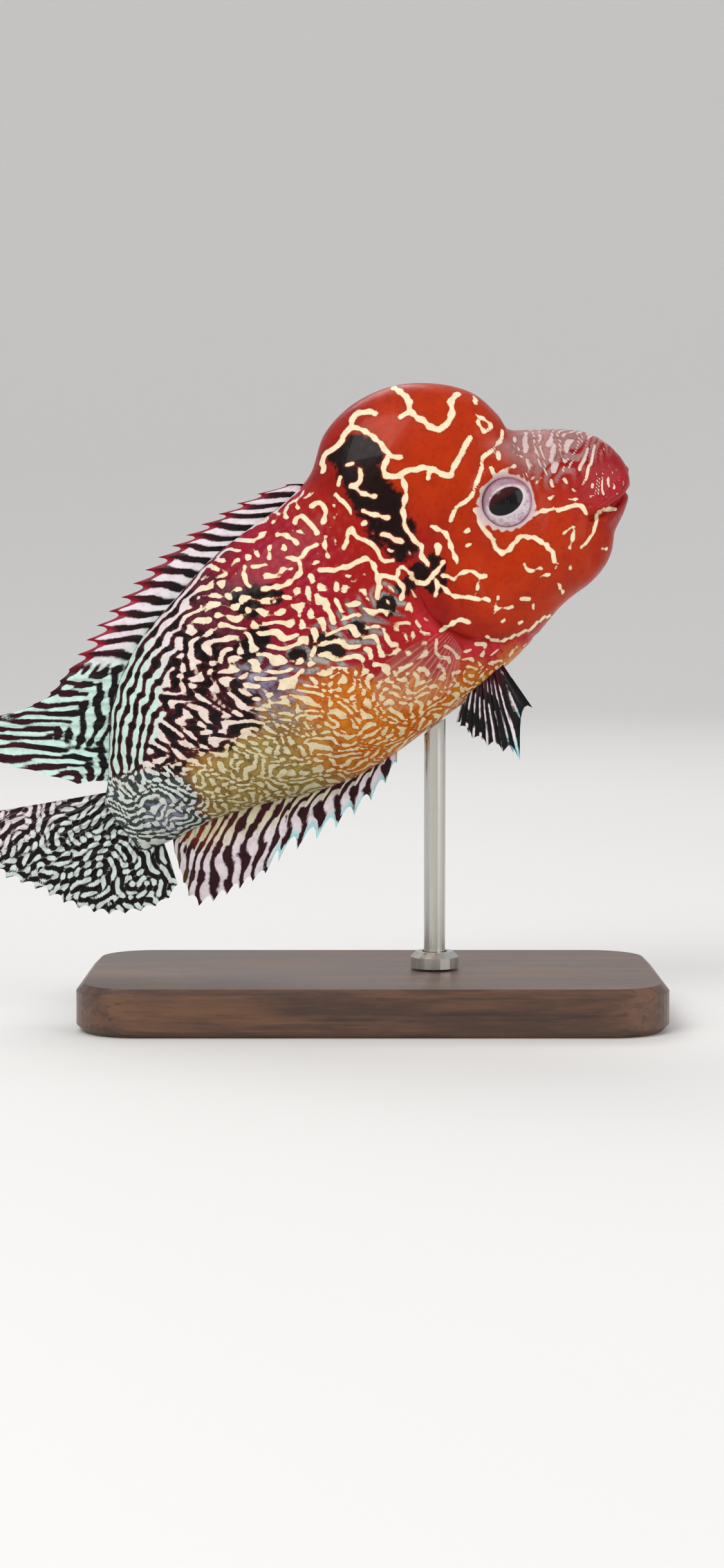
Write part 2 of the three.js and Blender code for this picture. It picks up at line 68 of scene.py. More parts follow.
# The loft's ribs: back x, back z, belly x, belly z, half width, roundness above and below, widest height
RIBS = np.array([
    [2.4, 4.7, 1.9, 3.1, 0.9, 2.0, 2.0, 0.0],
    [2.3, 6.4, 0.7, 0.9, 2.9, 2.2, 2.2, 0.0],
    [1.7, 9.0, -1.6, -1.1, 4.2, 2.2, 2.3, -0.1],
    [0.3, 11.5, -4.3, -2.8, 5.2, 2.2, 2.4, -0.15],
    [-1.6, 13.4, -6.3, -5.0, 6.0, 2.2, 2.4, -0.2],
    [-4.0, 15.1, -8.6, -6.4, 6.8, 2.2, 2.4, -0.2],
    [-7.0, 16.9, -11.6, -7.2, 7.6, 2.2, 2.4, -0.25],
    [-9.4, 18.6, -14.8, -7.4, 8.2, 2.3, 2.3, -0.3],
    [-9.6, 21.4, -17.6, -7.9, 8.6, 2.5, 2.3, -0.35],
    [-11.0, 25.9, -20.2, -8.7, 8.9, 2.7, 2.2, -0.38],
    [-14.8, 30.0, -23.2, -9.6, 9.2, 2.8, 2.2, -0.4],
    [-20.2, 33.1, -26.4, -10.4, 9.5, 2.8, 2.2, -0.4],
    [-26.6, 34.1, -29.8, -11.0, 9.8, 2.7, 2.1, -0.38],
    [-32.6, 32.7, -33.6, -11.6, 10.0, 2.5, 2.1, -0.32],
    [-37.6, 28.9, -37.8, -12.0, 10.1, 2.2, 2.1, -0.2],
    [-43.0, 27.5, -43.2, -12.3, 10.0, 2.0, 2.1, -0.12],
    [-50.0, 27.1, -49.8, -12.7, 9.7, 1.9, 2.0, -0.08],
    [-57.0, 26.4, -56.2, -12.4, 9.1, 1.9, 1.9, -0.06],
    [-64.0, 24.6, -62.8, -11.0, 8.2, 1.9, 1.9, -0.05],
    [-71.1, 22.5, -69.2, -8.7, 7.0, 1.9, 1.9, -0.05],
    [-77.1, 19.4, -75.0, -6.9, 5.7, 1.9, 1.9, -0.05],
    [-81.9, 15.3, -79.4, -6.0, 4.6, 1.9, 1.9, -0.04],
    [-85.3, 10.6, -82.8, -5.6, 3.5, 2.0, 2.0, -0.02],
    [-88.0, 6.9, -86.0, -5.2, 2.3, 2.0, 2.0, 0.0],
    [-90.0, 5.0, -89.2, -4.6, 0.8, 2.0, 2.0, 0.0],
])
# The eye: its middle, radius, half depth, how far its middle is sunk, and the radius of its orbit
EYE = {"x": -15.9, "z": 9.6, "radius": 4.3, "deep": 3.2, "sunk": 1.6, "orbit": 4.8}
# How much longer than high the marks round the eye are
EYE_MARK_OVAL = 1.06
# Places on the fish's side as x and z: the nostril, the two cuts behind the head, and the folds of the face
NOSTRIL = (-5.6, 11.2)
NAPE_CUT = [(-43, 36), (-38.8, 29), (-36.5, 24), (-32, 17), (-28.5, 12.5)]
GILL_CUT = [(-31, 10.5), (-33.6, 6.5), (-34.2, 2), (-32.6, -2.4), (-29, -6.2), (-23.5, -8.8), (-19, -14)]
CREASE = [(-9.4, 18.6), (-14, 17.4), (-20, 17.2)]
LIPS = [(2.4, 1.7), (-1, 0.6), (-4, 0.5), (-6.4, 0.7)]
MOUTH = [(8, 3.6), (2, 1.5), (-1, 0.6), (-4, 0.5), (-6.6, 0.8)]
JAW_FOLD = [(-6.6, 0.8), (-8.2, -1.4), (-9.8, -4.6)]

# The mouth's pixel in the photograph, and how many of its pixels make a millimetre of fish
MOUTH_PIXEL = np.array([974.0, 779.0])
PIXELS_PER_MM = 10.4
PHOTO_SIZE = (1125, 2436)


# Numbers


def colour(code):
    """The linear light of a colour given as #rrggbb."""
    v = np.array([int(code[i : i + 2], 16) for i in (1, 3, 5)]) / 255
    return tuple(np.where(v <= 0.04045, v / 12.92, ((v + 0.055) / 1.055) ** 2.4))


def ramp(value, low, high):
    """0 below low, 1 above high, and an S curve between them."""
    t = np.clip((value - low) / (high - low), 0, 1)
    return t * t * (3 - 2 * t)


def bump(x, z, cx, cz, rx, rz):
    """A round hill of height 1: e to minus the squared distance from its middle, in its own radii."""
    return np.exp(-(((x - cx) / rx) ** 2) - ((z - cz) / rz) ** 2)


def between(rows, at):
    """The rows' Catmull-Rom curve at fractional row numbers."""
    rows = np.asarray(rows, float)
    at = np.asarray(at, float)
    last = len(rows) - 1
    i = np.clip(np.floor(at).astype(int), 0, last - 1)
    t = (at - i)[..., None]
    a, b, c, d = rows[np.maximum(i - 1, 0)], rows[i], rows[i + 1], rows[np.minimum(i + 2, last)]
    return b + 0.5 * t * (c - a + t * (2 * a - 5 * b + 4 * c - d + t * (3 * (b - c) + d - a)))


def smooth_line(points, per_leg=5):
    """A line of points rounded into a curve through them."""
    return between(points, np.linspace(0, len(points) - 1, (len(points) - 1) * per_leg + 1))


def nearest(line, x, z):
    """Each place's distance from a line of points, and its side: 1 to the left of the line's run, or -1."""
    line = np.asarray(line, float)
    best, side = np.full(np.shape(x), np.inf), np.ones(np.shape(x))
    for (ax, az), (bx, bz) in zip(line[:-1], line[1:]):
        dx, dz = bx - ax, bz - az
        t = np.clip(((x - ax) * dx + (z - az) * dz) / (dx * dx + dz * dz), 0, 1)
        ex, ez = x - ax - t * dx, z - az - t * dz
        d = np.hypot(ex, ez)
        closer = d < best
        best = np.where(closer, d, best)
        side = np.where(closer, np.where(dx * ez - dz * ex >= 0, 1.0, -1.0), side)
    return best, side


def groove(line, x, z, width):
    """1 on a line and falling away from it as a bell curve of that half width."""
    return np.exp(-((nearest(line, x, z)[0] / width) ** 2))


def on_fish(pixels):
    """Places on the fish's side, x and z, of pixels of the photograph: turned by the pitch, and scaled."""
    away = (np.asarray(pixels, float) - MOUTH_PIXEL) / PIXELS_PER_MM
    c, s = math.cos(PITCH), math.sin(PITCH)
    return np.stack([away[..., 0] * c - away[..., 1] * s, -away[..., 0] * s - away[..., 1] * c], -1)


def in_row(x, y, z):
    """Points of the fish's frame, tilted nose up and set over the base, in metres."""
    c, s = math.cos(PITCH), math.sin(PITCH)
    return np.stack([MOUTH_AHEAD + x * c - z * s, y, MOUTH_HEIGHT + x * s + z * c], -1) / MM_PER_METRE


@functools.cache
def labyrinth(seed, cells=384, period=12, along=0.0, spots=0.0, rounds=140):
    """A square of stripes and worms that repeats, grown from noise.

    Each round adds spots times the square and takes away the cube of the field, and then strengthens
    waves near one length, by Fourier transform. along above 0 favours stripes that run along the first axis.
    """
    field = np.random.default_rng(seed).normal(0, 0.1, (cells, cells))
    k1 = np.fft.fftfreq(cells)[:, None] * period
    k2 = np.fft.rfftfreq(cells)[None, :] * period
    square = k1**2 + k2**2
    growth = 0.6 - (1 - square) ** 2 - along * k1**2 / (square + 1e-6)
    step = 0.6
    for _ in range(rounds):
        pushed = np.fft.rfft2(field + step * (spots * field**2 - field**3))
        field = np.fft.irfft2(pushed / (1 - step * growth), s=field.shape)
    return field / (1.35 * field.std())


def sample(tile, along, across, period=12):
    """A repeating square read at places counted in its own wave lengths, blended between its cells."""
    n = len(tile)
    p, q = along * period, across * period
    i, j = np.floor(p).astype(int), np.floor(q).astype(int)
    s, t = p - i, q - j
    low = tile[i % n, j % n] * (1 - s) + tile[(i + 1) % n, j % n] * s
    high = tile[i % n, (j + 1) % n] * (1 - s) + tile[(i + 1) % n, (j + 1) % n] * s
    return low * (1 - t) + high * t


def blend_colours(start, *layers):
    """A colour for each point: start, then each (colour, weight) laid over what is below it."""
    out = np.broadcast_to(np.asarray(start, float), (*np.shape(layers[0][1]), 3)).copy()
    for tint, weight in layers:
        w = np.clip(weight, 0, 1)[..., None]
        out = out * (1 - w) + np.asarray(tint) * w
    return out


# Meshes


def facing_out(points, triangles):
    """The triangles, turned round if the solid they close has a negative volume."""
    a, b, c = (points[triangles[:, k]] for k in range(3))
    if np.einsum("ij,ij->i", a, np.cross(b, c)).sum() < 0:
        return triangles[:, ::-1]
    return triangles


def make_piece(name, points, triangles, fields, material):
    """A smooth mesh object at the origin, with its fields as point attributes, riding on the root body."""
    triangles = facing_out(points, triangles)
    mesh = bpy.data.meshes.new(name)
    mesh.vertices.add(len(points))
    mesh.vertices.foreach_set("co", points.astype(np.float32).ravel())
    mesh.loops.add(3 * len(triangles))
    mesh.loops.foreach_set("vertex_index", triangles.astype(np.int32).ravel())
    mesh.polygons.add(len(triangles))
    mesh.polygons.foreach_set("loop_start", np.arange(0, 3 * len(triangles), 3, dtype=np.int32))
    mesh.update(calc_edges=True)
    mesh.validate()
    for field, values in fields.items():
        values = np.asarray(values, np.float32)
        if values.ndim == 1:
            mesh.attributes.new(field, "FLOAT", "POINT").data.foreach_set("value", values)
        elif field == "flow":
            mesh.attributes.new(field, "FLOAT_VECTOR", "POINT").data.foreach_set("vector", values.ravel())
        else:
            rgba = np.concatenate([values, np.ones((len(values), 1), np.float32)], 1)
            mesh.attributes.new(field, "FLOAT_COLOR", "POINT").data.foreach_set("color", rgba.ravel())
    mesh.shade_smooth()
    mesh.materials.append(material)
    piece = bpy.data.objects.new(name, mesh)
    bpy.context.scene.collection.objects.link(piece)
    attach(piece, "root")
    return piece


def halved(a, b, c, d):
    """Two triangles for each cell, given by the cells' four corners in order."""
    return np.concatenate([np.stack([a, b, c], -1).reshape(-1, 3), np.stack([a, c, d], -1).reshape(-1, 3)])


def grid_triangles(rows, columns, wrap):
    """Triangles of a grid of points, row by row. wrap joins the last column to the first."""
    i = np.arange(rows - 1)[:, None] * columns
    j = np.arange(columns if wrap else columns - 1)[None, :]
    k = (j + 1) % columns
    return halved(i + j, i + k, i + columns + k, i + columns + j)


def strip(one, other):
    """Triangles that join two rows of points of the same length."""
    return halved(one[:-1], one[1:], other[1:], other[:-1])


def fan(middle, ring):
    """Triangles from one point to a closed ring of points."""
    return np.stack([np.full(len(ring), middle), ring, np.roll(ring, -1)], -1)


def capped_grid(rows, columns):
    """Triangles of a wrapped grid whose first and last rows close on the two points that follow it."""
    last = rows * columns
    ring = np.arange(columns)
    return np.concatenate([
        grid_triangles(rows, columns, True),
        fan(last, ring),
        fan(last + 1, last - columns + ring)[:, ::-1],
    ])


# Materials


class Nodes:
    """A material's node tree, with short calls for the nodes that this script uses."""

    def __init__(self, name):
        self.material = bpy.data.materials.new(name)
        self.material.use_nodes = True
        self.tree = self.material.node_tree
        self.shader = self.tree.nodes["Principled BSDF"]
        self.place = self.tree.nodes.new("ShaderNodeTexCoord").outputs["Object"]

    def put(self, socket, value):
        """Links a socket to another, or sets it to a plain value."""
        if isinstance(value, bpy.types.NodeSocket):
            self.tree.links.new(value, socket)
        elif value is not None:
            socket.default_value = value

    def shader_value(self, **values):
        """Sets the shader's sockets, named with _ for a space."""
        for name, value in values.items():
            self.put(self.shader.inputs[name.replace("_", " ")], value)

    def field(self, name, kind="Fac"):
        """One of the piece's own fields, as a number, Color or Vector."""
        node = self.tree.nodes.new("ShaderNodeAttribute")
        node.attribute_name = name
        return node.outputs[kind]

    def math(self, operation, a, b, c=None):
        """What an operation makes of two or three values."""
        node = self.tree.nodes.new("ShaderNodeMath")
        node.operation = operation
        for socket, value in zip(node.inputs, (a, b, c)):
            self.put(socket, value)
        return node.outputs[0]

    def noise(self, scale, detail=3.0, rough=0.6, stretch=None):
        """Noise about 0.5 with scale waves to the metre. stretch squeezes it along each axis."""
        place = self.place
        if stretch:
            moved = self.tree.nodes.new("ShaderNodeMapping")
            self.put(moved.inputs["Vector"], place)
            moved.inputs["Scale"].default_value = stretch
            place = moved.outputs[0]
        node = self.tree.nodes.new("ShaderNodeTexNoise")
        for name, value in {"Vector": place, "Scale": scale, "Detail": detail, "Roughness": rough}.items():
            self.put(node.inputs[name], value)
        return node.outputs["Fac"]

    def step(self, value, low, high, out_low=0.0, out_high=1.0):
        """An S curve from out_low to out_high as the value goes from low to high."""
        node = self.tree.nodes.new("ShaderNodeMapRange")
        node.interpolation_type = "SMOOTHSTEP"
        ends = {"Value": value, "From Min": low, "From Max": high, "To Min": out_low, "To Max": out_high}
        for name, end in ends.items():
            self.put(node.inputs[name], end)
        return node.outputs[0]

    def mix(self, factor, below, above):
        """One colour laid over another as far as the factor says. Each is a socket or three numbers."""
        node = self.tree.nodes.new("ShaderNodeMix")
        node.data_type = "RGBA"
        inputs = {socket.identifier: socket for socket in node.inputs}
        self.put(inputs["Factor_Float"], factor)
        for name, tint in (("A_Color", below), ("B_Color", above)):
            self.put(inputs[name], tint if isinstance(tint, bpy.types.NodeSocket) else (*tint, 1.0))
        return next(socket for socket in node.outputs if socket.identifier == "Result_Color")

    def bumps(self, *layers):
        """The shader's normal from (height, depth in metres) layers, one on another."""
        normal = None
        for height, depth in layers:
            node = self.tree.nodes.new("ShaderNodeBump")
            node.inputs["Distance"].default_value = depth
            node.inputs["Strength"].default_value = 1.0
            self.put(node.inputs["Height"], height)
            if normal:
                self.put(node.inputs["Normal"], normal)
            normal = node.outputs[0]
        self.put(self.shader.inputs["Normal"], normal)


def pattern_material(name, edge=0.2, scales=0.0, clear=False):
    """Living colour from a piece's fields: its tint, black where dark is above 0, and lines where cream is.

    edge is how softly the lines end, and the field fray how far noise breaks them up. scales is the width
    of a scale in millimetres, or 0 for none, and a clear piece lets light through by its field cover.
    """
    n = Nodes(name)
    deep, rim_tint = n.field("deep", "Color"), n.field("rim_tint", "Color")
    jitter = n.math("MULTIPLY_ADD", n.noise(1500), 1.1, -0.55)
    cream = n.math("MULTIPLY_ADD", jitter, n.field("fray"), n.field("cream"))
    dark = n.math("ADD", n.field("dark"), jitter)
    base = n.mix(n.step(n.noise(260, 4), 0.35, 0.7, 0.0, 0.5), n.field("tint", "Color"), deep)
    base = n.mix(n.step(n.noise(1100), 0.5, 0.72, 0.0, 0.6), base, deep)
    base = n.mix(n.step(dark, -0.25, 0.25, 0.0, 0.98), base, colour("#060505"))
    base = n.mix(n.step(cream, -1.0, -0.2, 0.0, 0.4), base, deep)
    line_colour = n.mix(n.step(cream, 0.0, 0.45), rim_tint, n.field("line_tint", "Color"))
    line_colour = n.mix(n.step(n.noise(850), 0.4, 0.75, 0.0, 0.7), line_colour, rim_tint)
    lines = n.step(cream, -edge, edge)
    n.shader_value(
        Base_Color=n.mix(lines, base, line_colour),
        Roughness=n.step(n.noise(700), 0.3, 0.7, 0.28, 0.46),
        Coat_Weight=0.1,
        Coat_Roughness=0.05,
        Specular_IOR_Level=0.1,
    )
    layers = [(n.noise(2600), 0.00003), (lines, 0.00005)]
    if scales:
        cells = n.tree.nodes.new("ShaderNodeTexVoronoi")
        cells.feature = "F1"
        cells.inputs["Randomness"].default_value = 0.35
        cells.inputs["Scale"].default_value = 1.0 / scales
        n.put(cells.inputs["Vector"], n.field("flow", "Vector"))
        height = n.math("MULTIPLY", n.step(cells.outputs["Distance"], 0.15, 0.62, 1.0, 0.0), n.field("scaly"))
        layers.append((height, 0.00012))
    if clear:
        n.shader_value(Alpha=n.field("cover"))
    n.bumps(*layers)
    return n.material


# The body's shape


def from_eye(x, z, oval=1.0):
    """Distance from the eye's middle in millimetres, with heights counted oval times."""
    return np.hypot(x - EYE["x"], oval * (z - EYE["z"]))


def relief(x, z):
    """What stands proud of the plain loft or is sunk into it, in millimetres: hump, brow, cheek and lips."""
    eye = from_eye(x, z)
    crease = nearest(CREASE, x, z)[0]
    lips = nearest(LIPS, x, z)[0]
    return (
        0.9 * bump(x, z, -23, 25, 11, 7)
        - 0.65 * np.exp(-((crease / 2.2) ** 2)) * ramp(x, -22, -13)
        + 0.45 * np.exp(-(((eye - EYE["orbit"]) / 1.1) ** 2))
        - 0.7 * (1 - ramp(eye, 2.2, EYE["orbit"]))
        - 0.6 * bump(x, z, -8.5, 11, 3.5, 3.5)
        + 0.5 * bump(x, z, -21, -1, 7, 5)
        + 0.85 * np.exp(-(((lips - 1.2) / 0.9) ** 2)) * ramp(x, -7.5, -5)
    )


def head_side(x, z):
    """Signed distance from the line where the head ends: above 0 on the head."""
    far, side = nearest(smooth_line([*NAPE_CUT, *GILL_CUT]), x, z)
    return far * side


def loft(rib, angle):
    """The body's surface at fractional ribs and angles from the back: a superellipse on each slanted rib."""
    bx, bz, vx, vz, width, above, below, widest = np.moveaxis(between(RIBS, rib), -1, 0)
    c, s = np.cos(angle), np.sin(angle)
    roundness = np.where(c > 0, above, below)
    reach = np.where(c > 0, 1 - widest, 1 + widest)
    up = widest + np.sign(c) * reach * np.abs(c) ** (2 / roundness)
    out = np.abs(s) ** (2 / roundness)
    x = (bx + vx) / 2 + (bx - vx) / 2 * up
    z = (bz + vz) / 2 + (bz - vz) / 2 * up
    return x, z, width, out, np.sign(s)


def gill_swell(x, z):
    """The gill cover stands proud towards its free edge, and drops to the flank behind it."""
    rise = 0.85 * ramp(-x, 20, 31) * (1 - ramp(z, 7, 13)) * ramp(z, -9, -5)
    return rise * ramp(head_side(x, z), -0.35, 0.25)


def body_points(rib, angle):
    """The loft with its relief, in the fish's frame: sideways by relief, full width at mid height."""
    x, z, width, out, side = loft(rib, angle)
    y = width * out + relief(x, z) * np.minimum(1, out * 1.2) * out + gill_swell(x, z) * out
    return np.stack([x, side * y, z], -1)


def flank_width(x, z):
    """Half width of the body at a place on its flank: that of the nearest point of a fine grid."""
    rib, angle = np.meshgrid(np.arange(0, 24, 0.1), np.arange(0.02, math.pi, 0.02), indexing="ij")
    p = body_points(rib, angle)
    at = np.argmin(np.hypot(p[..., 0] - x, p[..., 2] - z))
    return p.reshape(-1, 3)[at, 1]


def even_ribs(count):
    """Fractional ribs spaced evenly along the fish, and how far along in millimetres each is.

    Lengths are the mean of those along the back, the flank and the belly.
    """
    fine = np.linspace(0, len(RIBS) - 1, 1200)
    lines = body_points(fine[:, None], np.array([[0.0, math.pi / 2, math.pi]]))
    steps = np.linalg.norm(np.diff(lines, axis=0), axis=-1).mean(1)
    length = np.concatenate([[0], np.cumsum(steps)])
    along = np.linspace(0, length[-1], count)
    return np.interp(along, length, fine), along


def even_angles(rib, count):
    """For each rib, angles round it whose points are evenly spaced, and that spacing in millimetres."""
    fine = np.linspace(0, math.pi, 400)
    points = body_points(rib[:, None], np.broadcast_to(fine, (len(rib), len(fine))))
    steps = np.linalg.norm(np.diff(points, axis=1), axis=-1)
    length = np.concatenate([np.zeros((len(rib), 1)), np.cumsum(steps, 1)], 1)
    half = count // 2
    wanted = np.linspace(0, 1, half + 1)
    angles = np.stack([np.interp(wanted * row[-1], row, fine) for row in length])
    return np.concatenate([angles, 2 * math.pi - angles[:, -2:0:-1]], 1), length[:, -1] / half


def normals_of(points):
    """Unit normals of a grid of points that wraps round its second axis, pointing away from the middle."""
    along = np.gradient(points, axis=0)
    around = np.roll(points, -1, 1) - np.roll(points, 1, 1)
    n = np.cross(along, around)
    n /= np.linalg.norm(n, axis=-1, keepdims=True) + 1e-12
    middle = points.mean(1, keepdims=True)
    outward = np.sign((n * (points - middle)).sum(-1).mean())
    return n * outward


def fine_relief(x, z):
    """Small forms along the normal: mouth line, jaw fold, nostril, eye socket, gill edge and cheek plates."""
    eye = from_eye(x, z)
    nostril = np.hypot(x - NOSTRIL[0], z - NOSTRIL[1])
    gill, side = nearest(smooth_line(GILL_CUT), x, z)
    plate = smooth_line([(-21, 5.5), (-24.6, 2.5), (-25.4, -1.5), (-22.8, -4.6), (-17, -6.6)])
    return (
        -0.75 * groove(smooth_line(MOUTH), x, z, 0.32)
        - 0.3 * groove(smooth_line(JAW_FOLD), x, z, 0.6)
        - 0.7 * np.exp(-((nostril / 0.55) ** 2))
        + 0.16 * np.exp(-(((nostril - 1.0) / 0.35) ** 2))
        - 1.1 * (1 - ramp(eye, 3.0, 3.7))
        + 0.12 * np.exp(-(((eye - 4.1) / 0.6) ** 2))
        - 0.3 * np.exp(-((gill / 0.5) ** 2)) * ramp(10 - z, 0, 3) * ramp(z, -11, -8)
        - 0.22 * groove(plate, x, z, 0.8)
    )


# Markings

# How much of its half width a cream line is drawn with
THINNED = 0.62
# How much of a line's red, green and blue is left on its rim, on the skin and on the fins
SKIN_RIM = np.array([0.9, 0.78, 0.68])
FIN_RIM = np.array([0.75, 0.7, 0.68])
# Cream lines: the half width of each in millimetres, and its pixels in the photograph
HEAD_LINES = {
    "hump_scallop": (0.75, [(612, 609), (633, 629), (635, 647), (653, 661), (673, 675), (689, 667),
                            (699, 649), (697, 631), (708, 621)]),
    "scallop_spur": (0.55, [(635, 647), (619, 656)]),
    "rear_arch": (0.7, [(503, 736), (505, 712), (525, 698), (546, 667), (549, 653), (562, 647), (582, 649)]),
    "rear_branch": (0.6, [(548, 669), (570, 679), (590, 696), (602, 712), (621, 718)]),
    "mid_wave": (0.7, [(600, 718), (596, 742), (614, 748), (633, 738), (661, 734), (685, 743), (696, 743),
                       (706, 722), (716, 706), (726, 689)]),
    "mid_spur": (0.45, [(663, 736), (663, 750)]),
    "nape_line": (0.6, [(623, 748), (629, 770), (625, 793), (627, 817), (637, 837), (651, 851), (653, 868),
                        (663, 880)]),
    "brow_line": (0.5, [(776, 677), (772, 692), (756, 708), (746, 718), (740, 742), (726, 777), (704, 793),
                        (697, 813)]),
    "brow_loop": (0.45, [(736, 653), (758, 667), (748, 679), (738, 662)]),
    "brow_dot": (0.55, [(734, 625), (736, 635)]),
    "cheek_bend": (0.55, [(667, 821), (689, 833), (697, 853), (706, 876)]),
    "cheek_spot": (0.5, [(716, 830), (723, 827)]),
    "cheek_spot_low": (0.45, [(722, 851), (728, 848)]),
    "cheek_blob": (0.8, [(677, 851), (677, 861)]),
    "under_eye": (0.6, [(734, 797), (748, 829), (758, 837), (764, 853), (774, 862), (788, 853), (799, 839),
                        (815, 837), (835, 845), (851, 861), (855, 874)]),
    "eye_tail": (0.5, [(807, 811), (827, 801), (851, 795)]),
    "eye_tail_front": (0.45, [(859, 797), (878, 791), (894, 789), (902, 801)]),
    "comma": (0.4, [(867, 831), (884, 823), (878, 853)]),
    "lip_line": (0.4, [(894, 853), (914, 833), (918, 813), (926, 797), (950, 793)]),
    "snout_hook": (0.45, [(758, 734), (764, 744), (788, 732), (795, 730)]),
    "snout_spot": (0.55, [(770, 710), (770, 718)]),
    "lip_bar": (0.4, [(894, 734), (902, 714), (906, 702)]),
    "lip_bar_front": (0.4, [(898, 758), (910, 726), (918, 698)]),
    "cheek_fork": (0.4, [(807, 878), (813, 888), (833, 885)]),
    "fleck_jaw": (0.3, [(859, 878), (857, 884)]),
    "fleck_jaw_front": (0.3, [(880, 878), (879, 885)]),
    "fleck_chin": (0.35, [(930, 855), (936, 854)]),
    "fleck_mid": (0.35, [(834, 897), (846, 893)]),
    "ring_top": (0.5, [(704, 898), (724, 888), (740, 898), (749, 895)]),
    "ring_side": (0.35, [(740, 900), (734, 924)]),
    "ring_low": (0.5, [(683, 912), (701, 926), (732, 930), (754, 932)]),
    "fork": (0.35, [(768, 928), (766, 944), (791, 943)]),
    "fork_foot": (0.3, [(766, 944), (760, 955)]),
    "fleck_low": (0.45, [(803, 932), (817, 930)]),
    "fleck_thin": (0.25, [(825, 936), (822, 946)]),
    "fleck_round": (0.35, [(801, 967), (806, 966)]),
    "fleck_small": (0.3, [(774, 965), (779, 963)]),
    "fleck_fold": (0.4, [(861, 908), (869, 921)]),
    "gill_hem": (0.4, [(752, 989), (772, 995), (795, 987), (819, 977), (839, 961), (851, 957)]),
    "throat_hook": (0.45, [(736, 999), (750, 1001), (745, 1016)]),
    "throat_tick": (0.35, [(789, 1017), (799, 1005)]),
    "gill_bar": (0.55, [(683, 979), (708, 963), (724, 967)]),
    "blotch_edge": (0.5, [(523, 772), (538, 789), (546, 802)]),
    "blotch_foot": (0.55, [(536, 853), (546, 823), (553, 837), (582, 851), (594, 872), (610, 872)]),
    "nape_fold": (0.6, [(499, 888), (534, 884), (570, 870), (586, 896), (586, 928)]),
    "blotch_mark": (0.55, [(558, 734), (560, 754), (546, 760)]),
    "blotch_mark_low": (0.5, [(546, 758), (564, 772), (582, 776)]),
    "blotch_bar": (0.55, [(564, 799), (602, 809)]),
    "blotch_dot": (0.5, [(563, 819), (568, 815)]),
    "blotch_bar_low": (0.6, [(594, 833), (623, 845)]),
    "blotch_spot": (0.4, [(540, 728), (548, 726)]),
    "blotch_spot_low": (0.4, [(529, 746), (527, 758)]),
    "nose_flecks": (0.35, [(850, 752), (851, 760)]),
    "nose_fleck_up": (0.35, [(870, 750), (873, 756)]),
    "nose_fleck_low": (0.35, [(847, 779), (854, 774)]),
    "nose_fleck_mid": (0.35, [(883, 765), (885, 768)]),
    "nose_fleck_long": (0.3, [(876, 780), (892, 780)]),
    "chain_rear": (0.55, [(590, 912), (590, 896), (614, 900), (625, 916), (621, 932)]),
    "chain_mid": (0.55, [(637, 900), (657, 908), (669, 896), (685, 876)]),
    "chain_low": (0.5, [(669, 896), (677, 912), (673, 928)]),
    "chain_up": (0.5, [(614, 900), (621, 884), (637, 892)]),
    "chain_front": (0.5, [(685, 896), (701, 900)]),
}
SHOULDER_LINES = {
    "shoulder_arch": (0.6, [(484, 790), (499, 786), (507, 801), (503, 816)]),
    "shoulder_bow": (0.6, [(460, 814), (468, 805), (484, 816), (494, 831)]),
    "shoulder_dash": (0.55, [(434, 833), (449, 835), (465, 847)]),
    "shoulder_bar": (0.5, [(507, 838), (506, 853), (511, 866)]),
    "shoulder_stick": (0.5, [(422, 852), (421, 868)]),
    "shoulder_tick": (0.5, [(397, 881), (416, 879)]),
    "shoulder_mark": (0.45, [(364, 878), (373, 871)]),
    "shoulder_drop": (0.55, [(383, 883), (384, 900), (391, 912)]),
    "shoulder_wave": (0.55, [(449, 868), (466, 870), (479, 857), (493, 848)]),
    "shoulder_hook": (0.6, [(466, 870), (469, 890), (447, 909), (429, 913), (410, 916)]),
    "back_tick": (0.45, [(408, 831), (416, 828)]),
    "back_line": (0.5, [(358, 839), (397, 841), (414, 829)]),
}
# Black patches: pixels of their middles with radii in millimetres
BLOTCHES = [
    (550, 716, 3.0), (574, 714, 2.4), (566, 750, 3.9), (588, 785, 3.7), (598, 822, 3.4), (618, 852, 2.3),
    (677, 878, 1.4), (676, 906, 1.5), (648, 893, 1.5), (628, 912, 1.6), (602, 940, 1.4),
    (556, 977, 1.7), (520, 1003, 1.8), (495, 1000, 1.6), (468, 1018, 1.5),
    (392, 940, 2.4), (405, 985, 1.9), (425, 925, 1.6), (383, 1010, 1.5), (298, 1022, 2.1), (330, 1040, 2.0),
    (345, 1120, 3.0), (318, 1150, 2.4), (375, 1110, 1.9), (352, 1150, 2.2), (272, 1178, 2.4),
    (240, 1165, 1.8), (400, 1125, 1.6),
]
# Pale grey grounds about the black spots, and lilac sheens
GREYS = [(560, 970, 3.0), (515, 1005, 3.2), (480, 1018, 2.8), (602, 935, 2.2), (395, 1030, 1.6)]
LILACS = [(428, 1078, 4.0), (335, 1130, 1.9), (398, 1058, 2.8), (445, 1045, 2.2), (260, 1265, 2.6)]
# Lines, as pixels, where one kind of marking gives way to another; the second kind lies left of the run
GOLD_EDGE = [(800, 1010), (720, 1045), (640, 1050), (560, 1050), (480, 1050), (440, 1085), (390, 1135),
             (330, 1170), (280, 1205), (240, 1240)]
STRIPE_EDGE = [(205, 1215), (245, 1150), (258, 1080), (275, 1020), (292, 960), (318, 900), (365, 850),
               (480, 770)]
TAIL_EDGE = [(345, 1330), (318, 1260), (300, 1205), (210, 1192), (130, 1215), (60, 1230)]


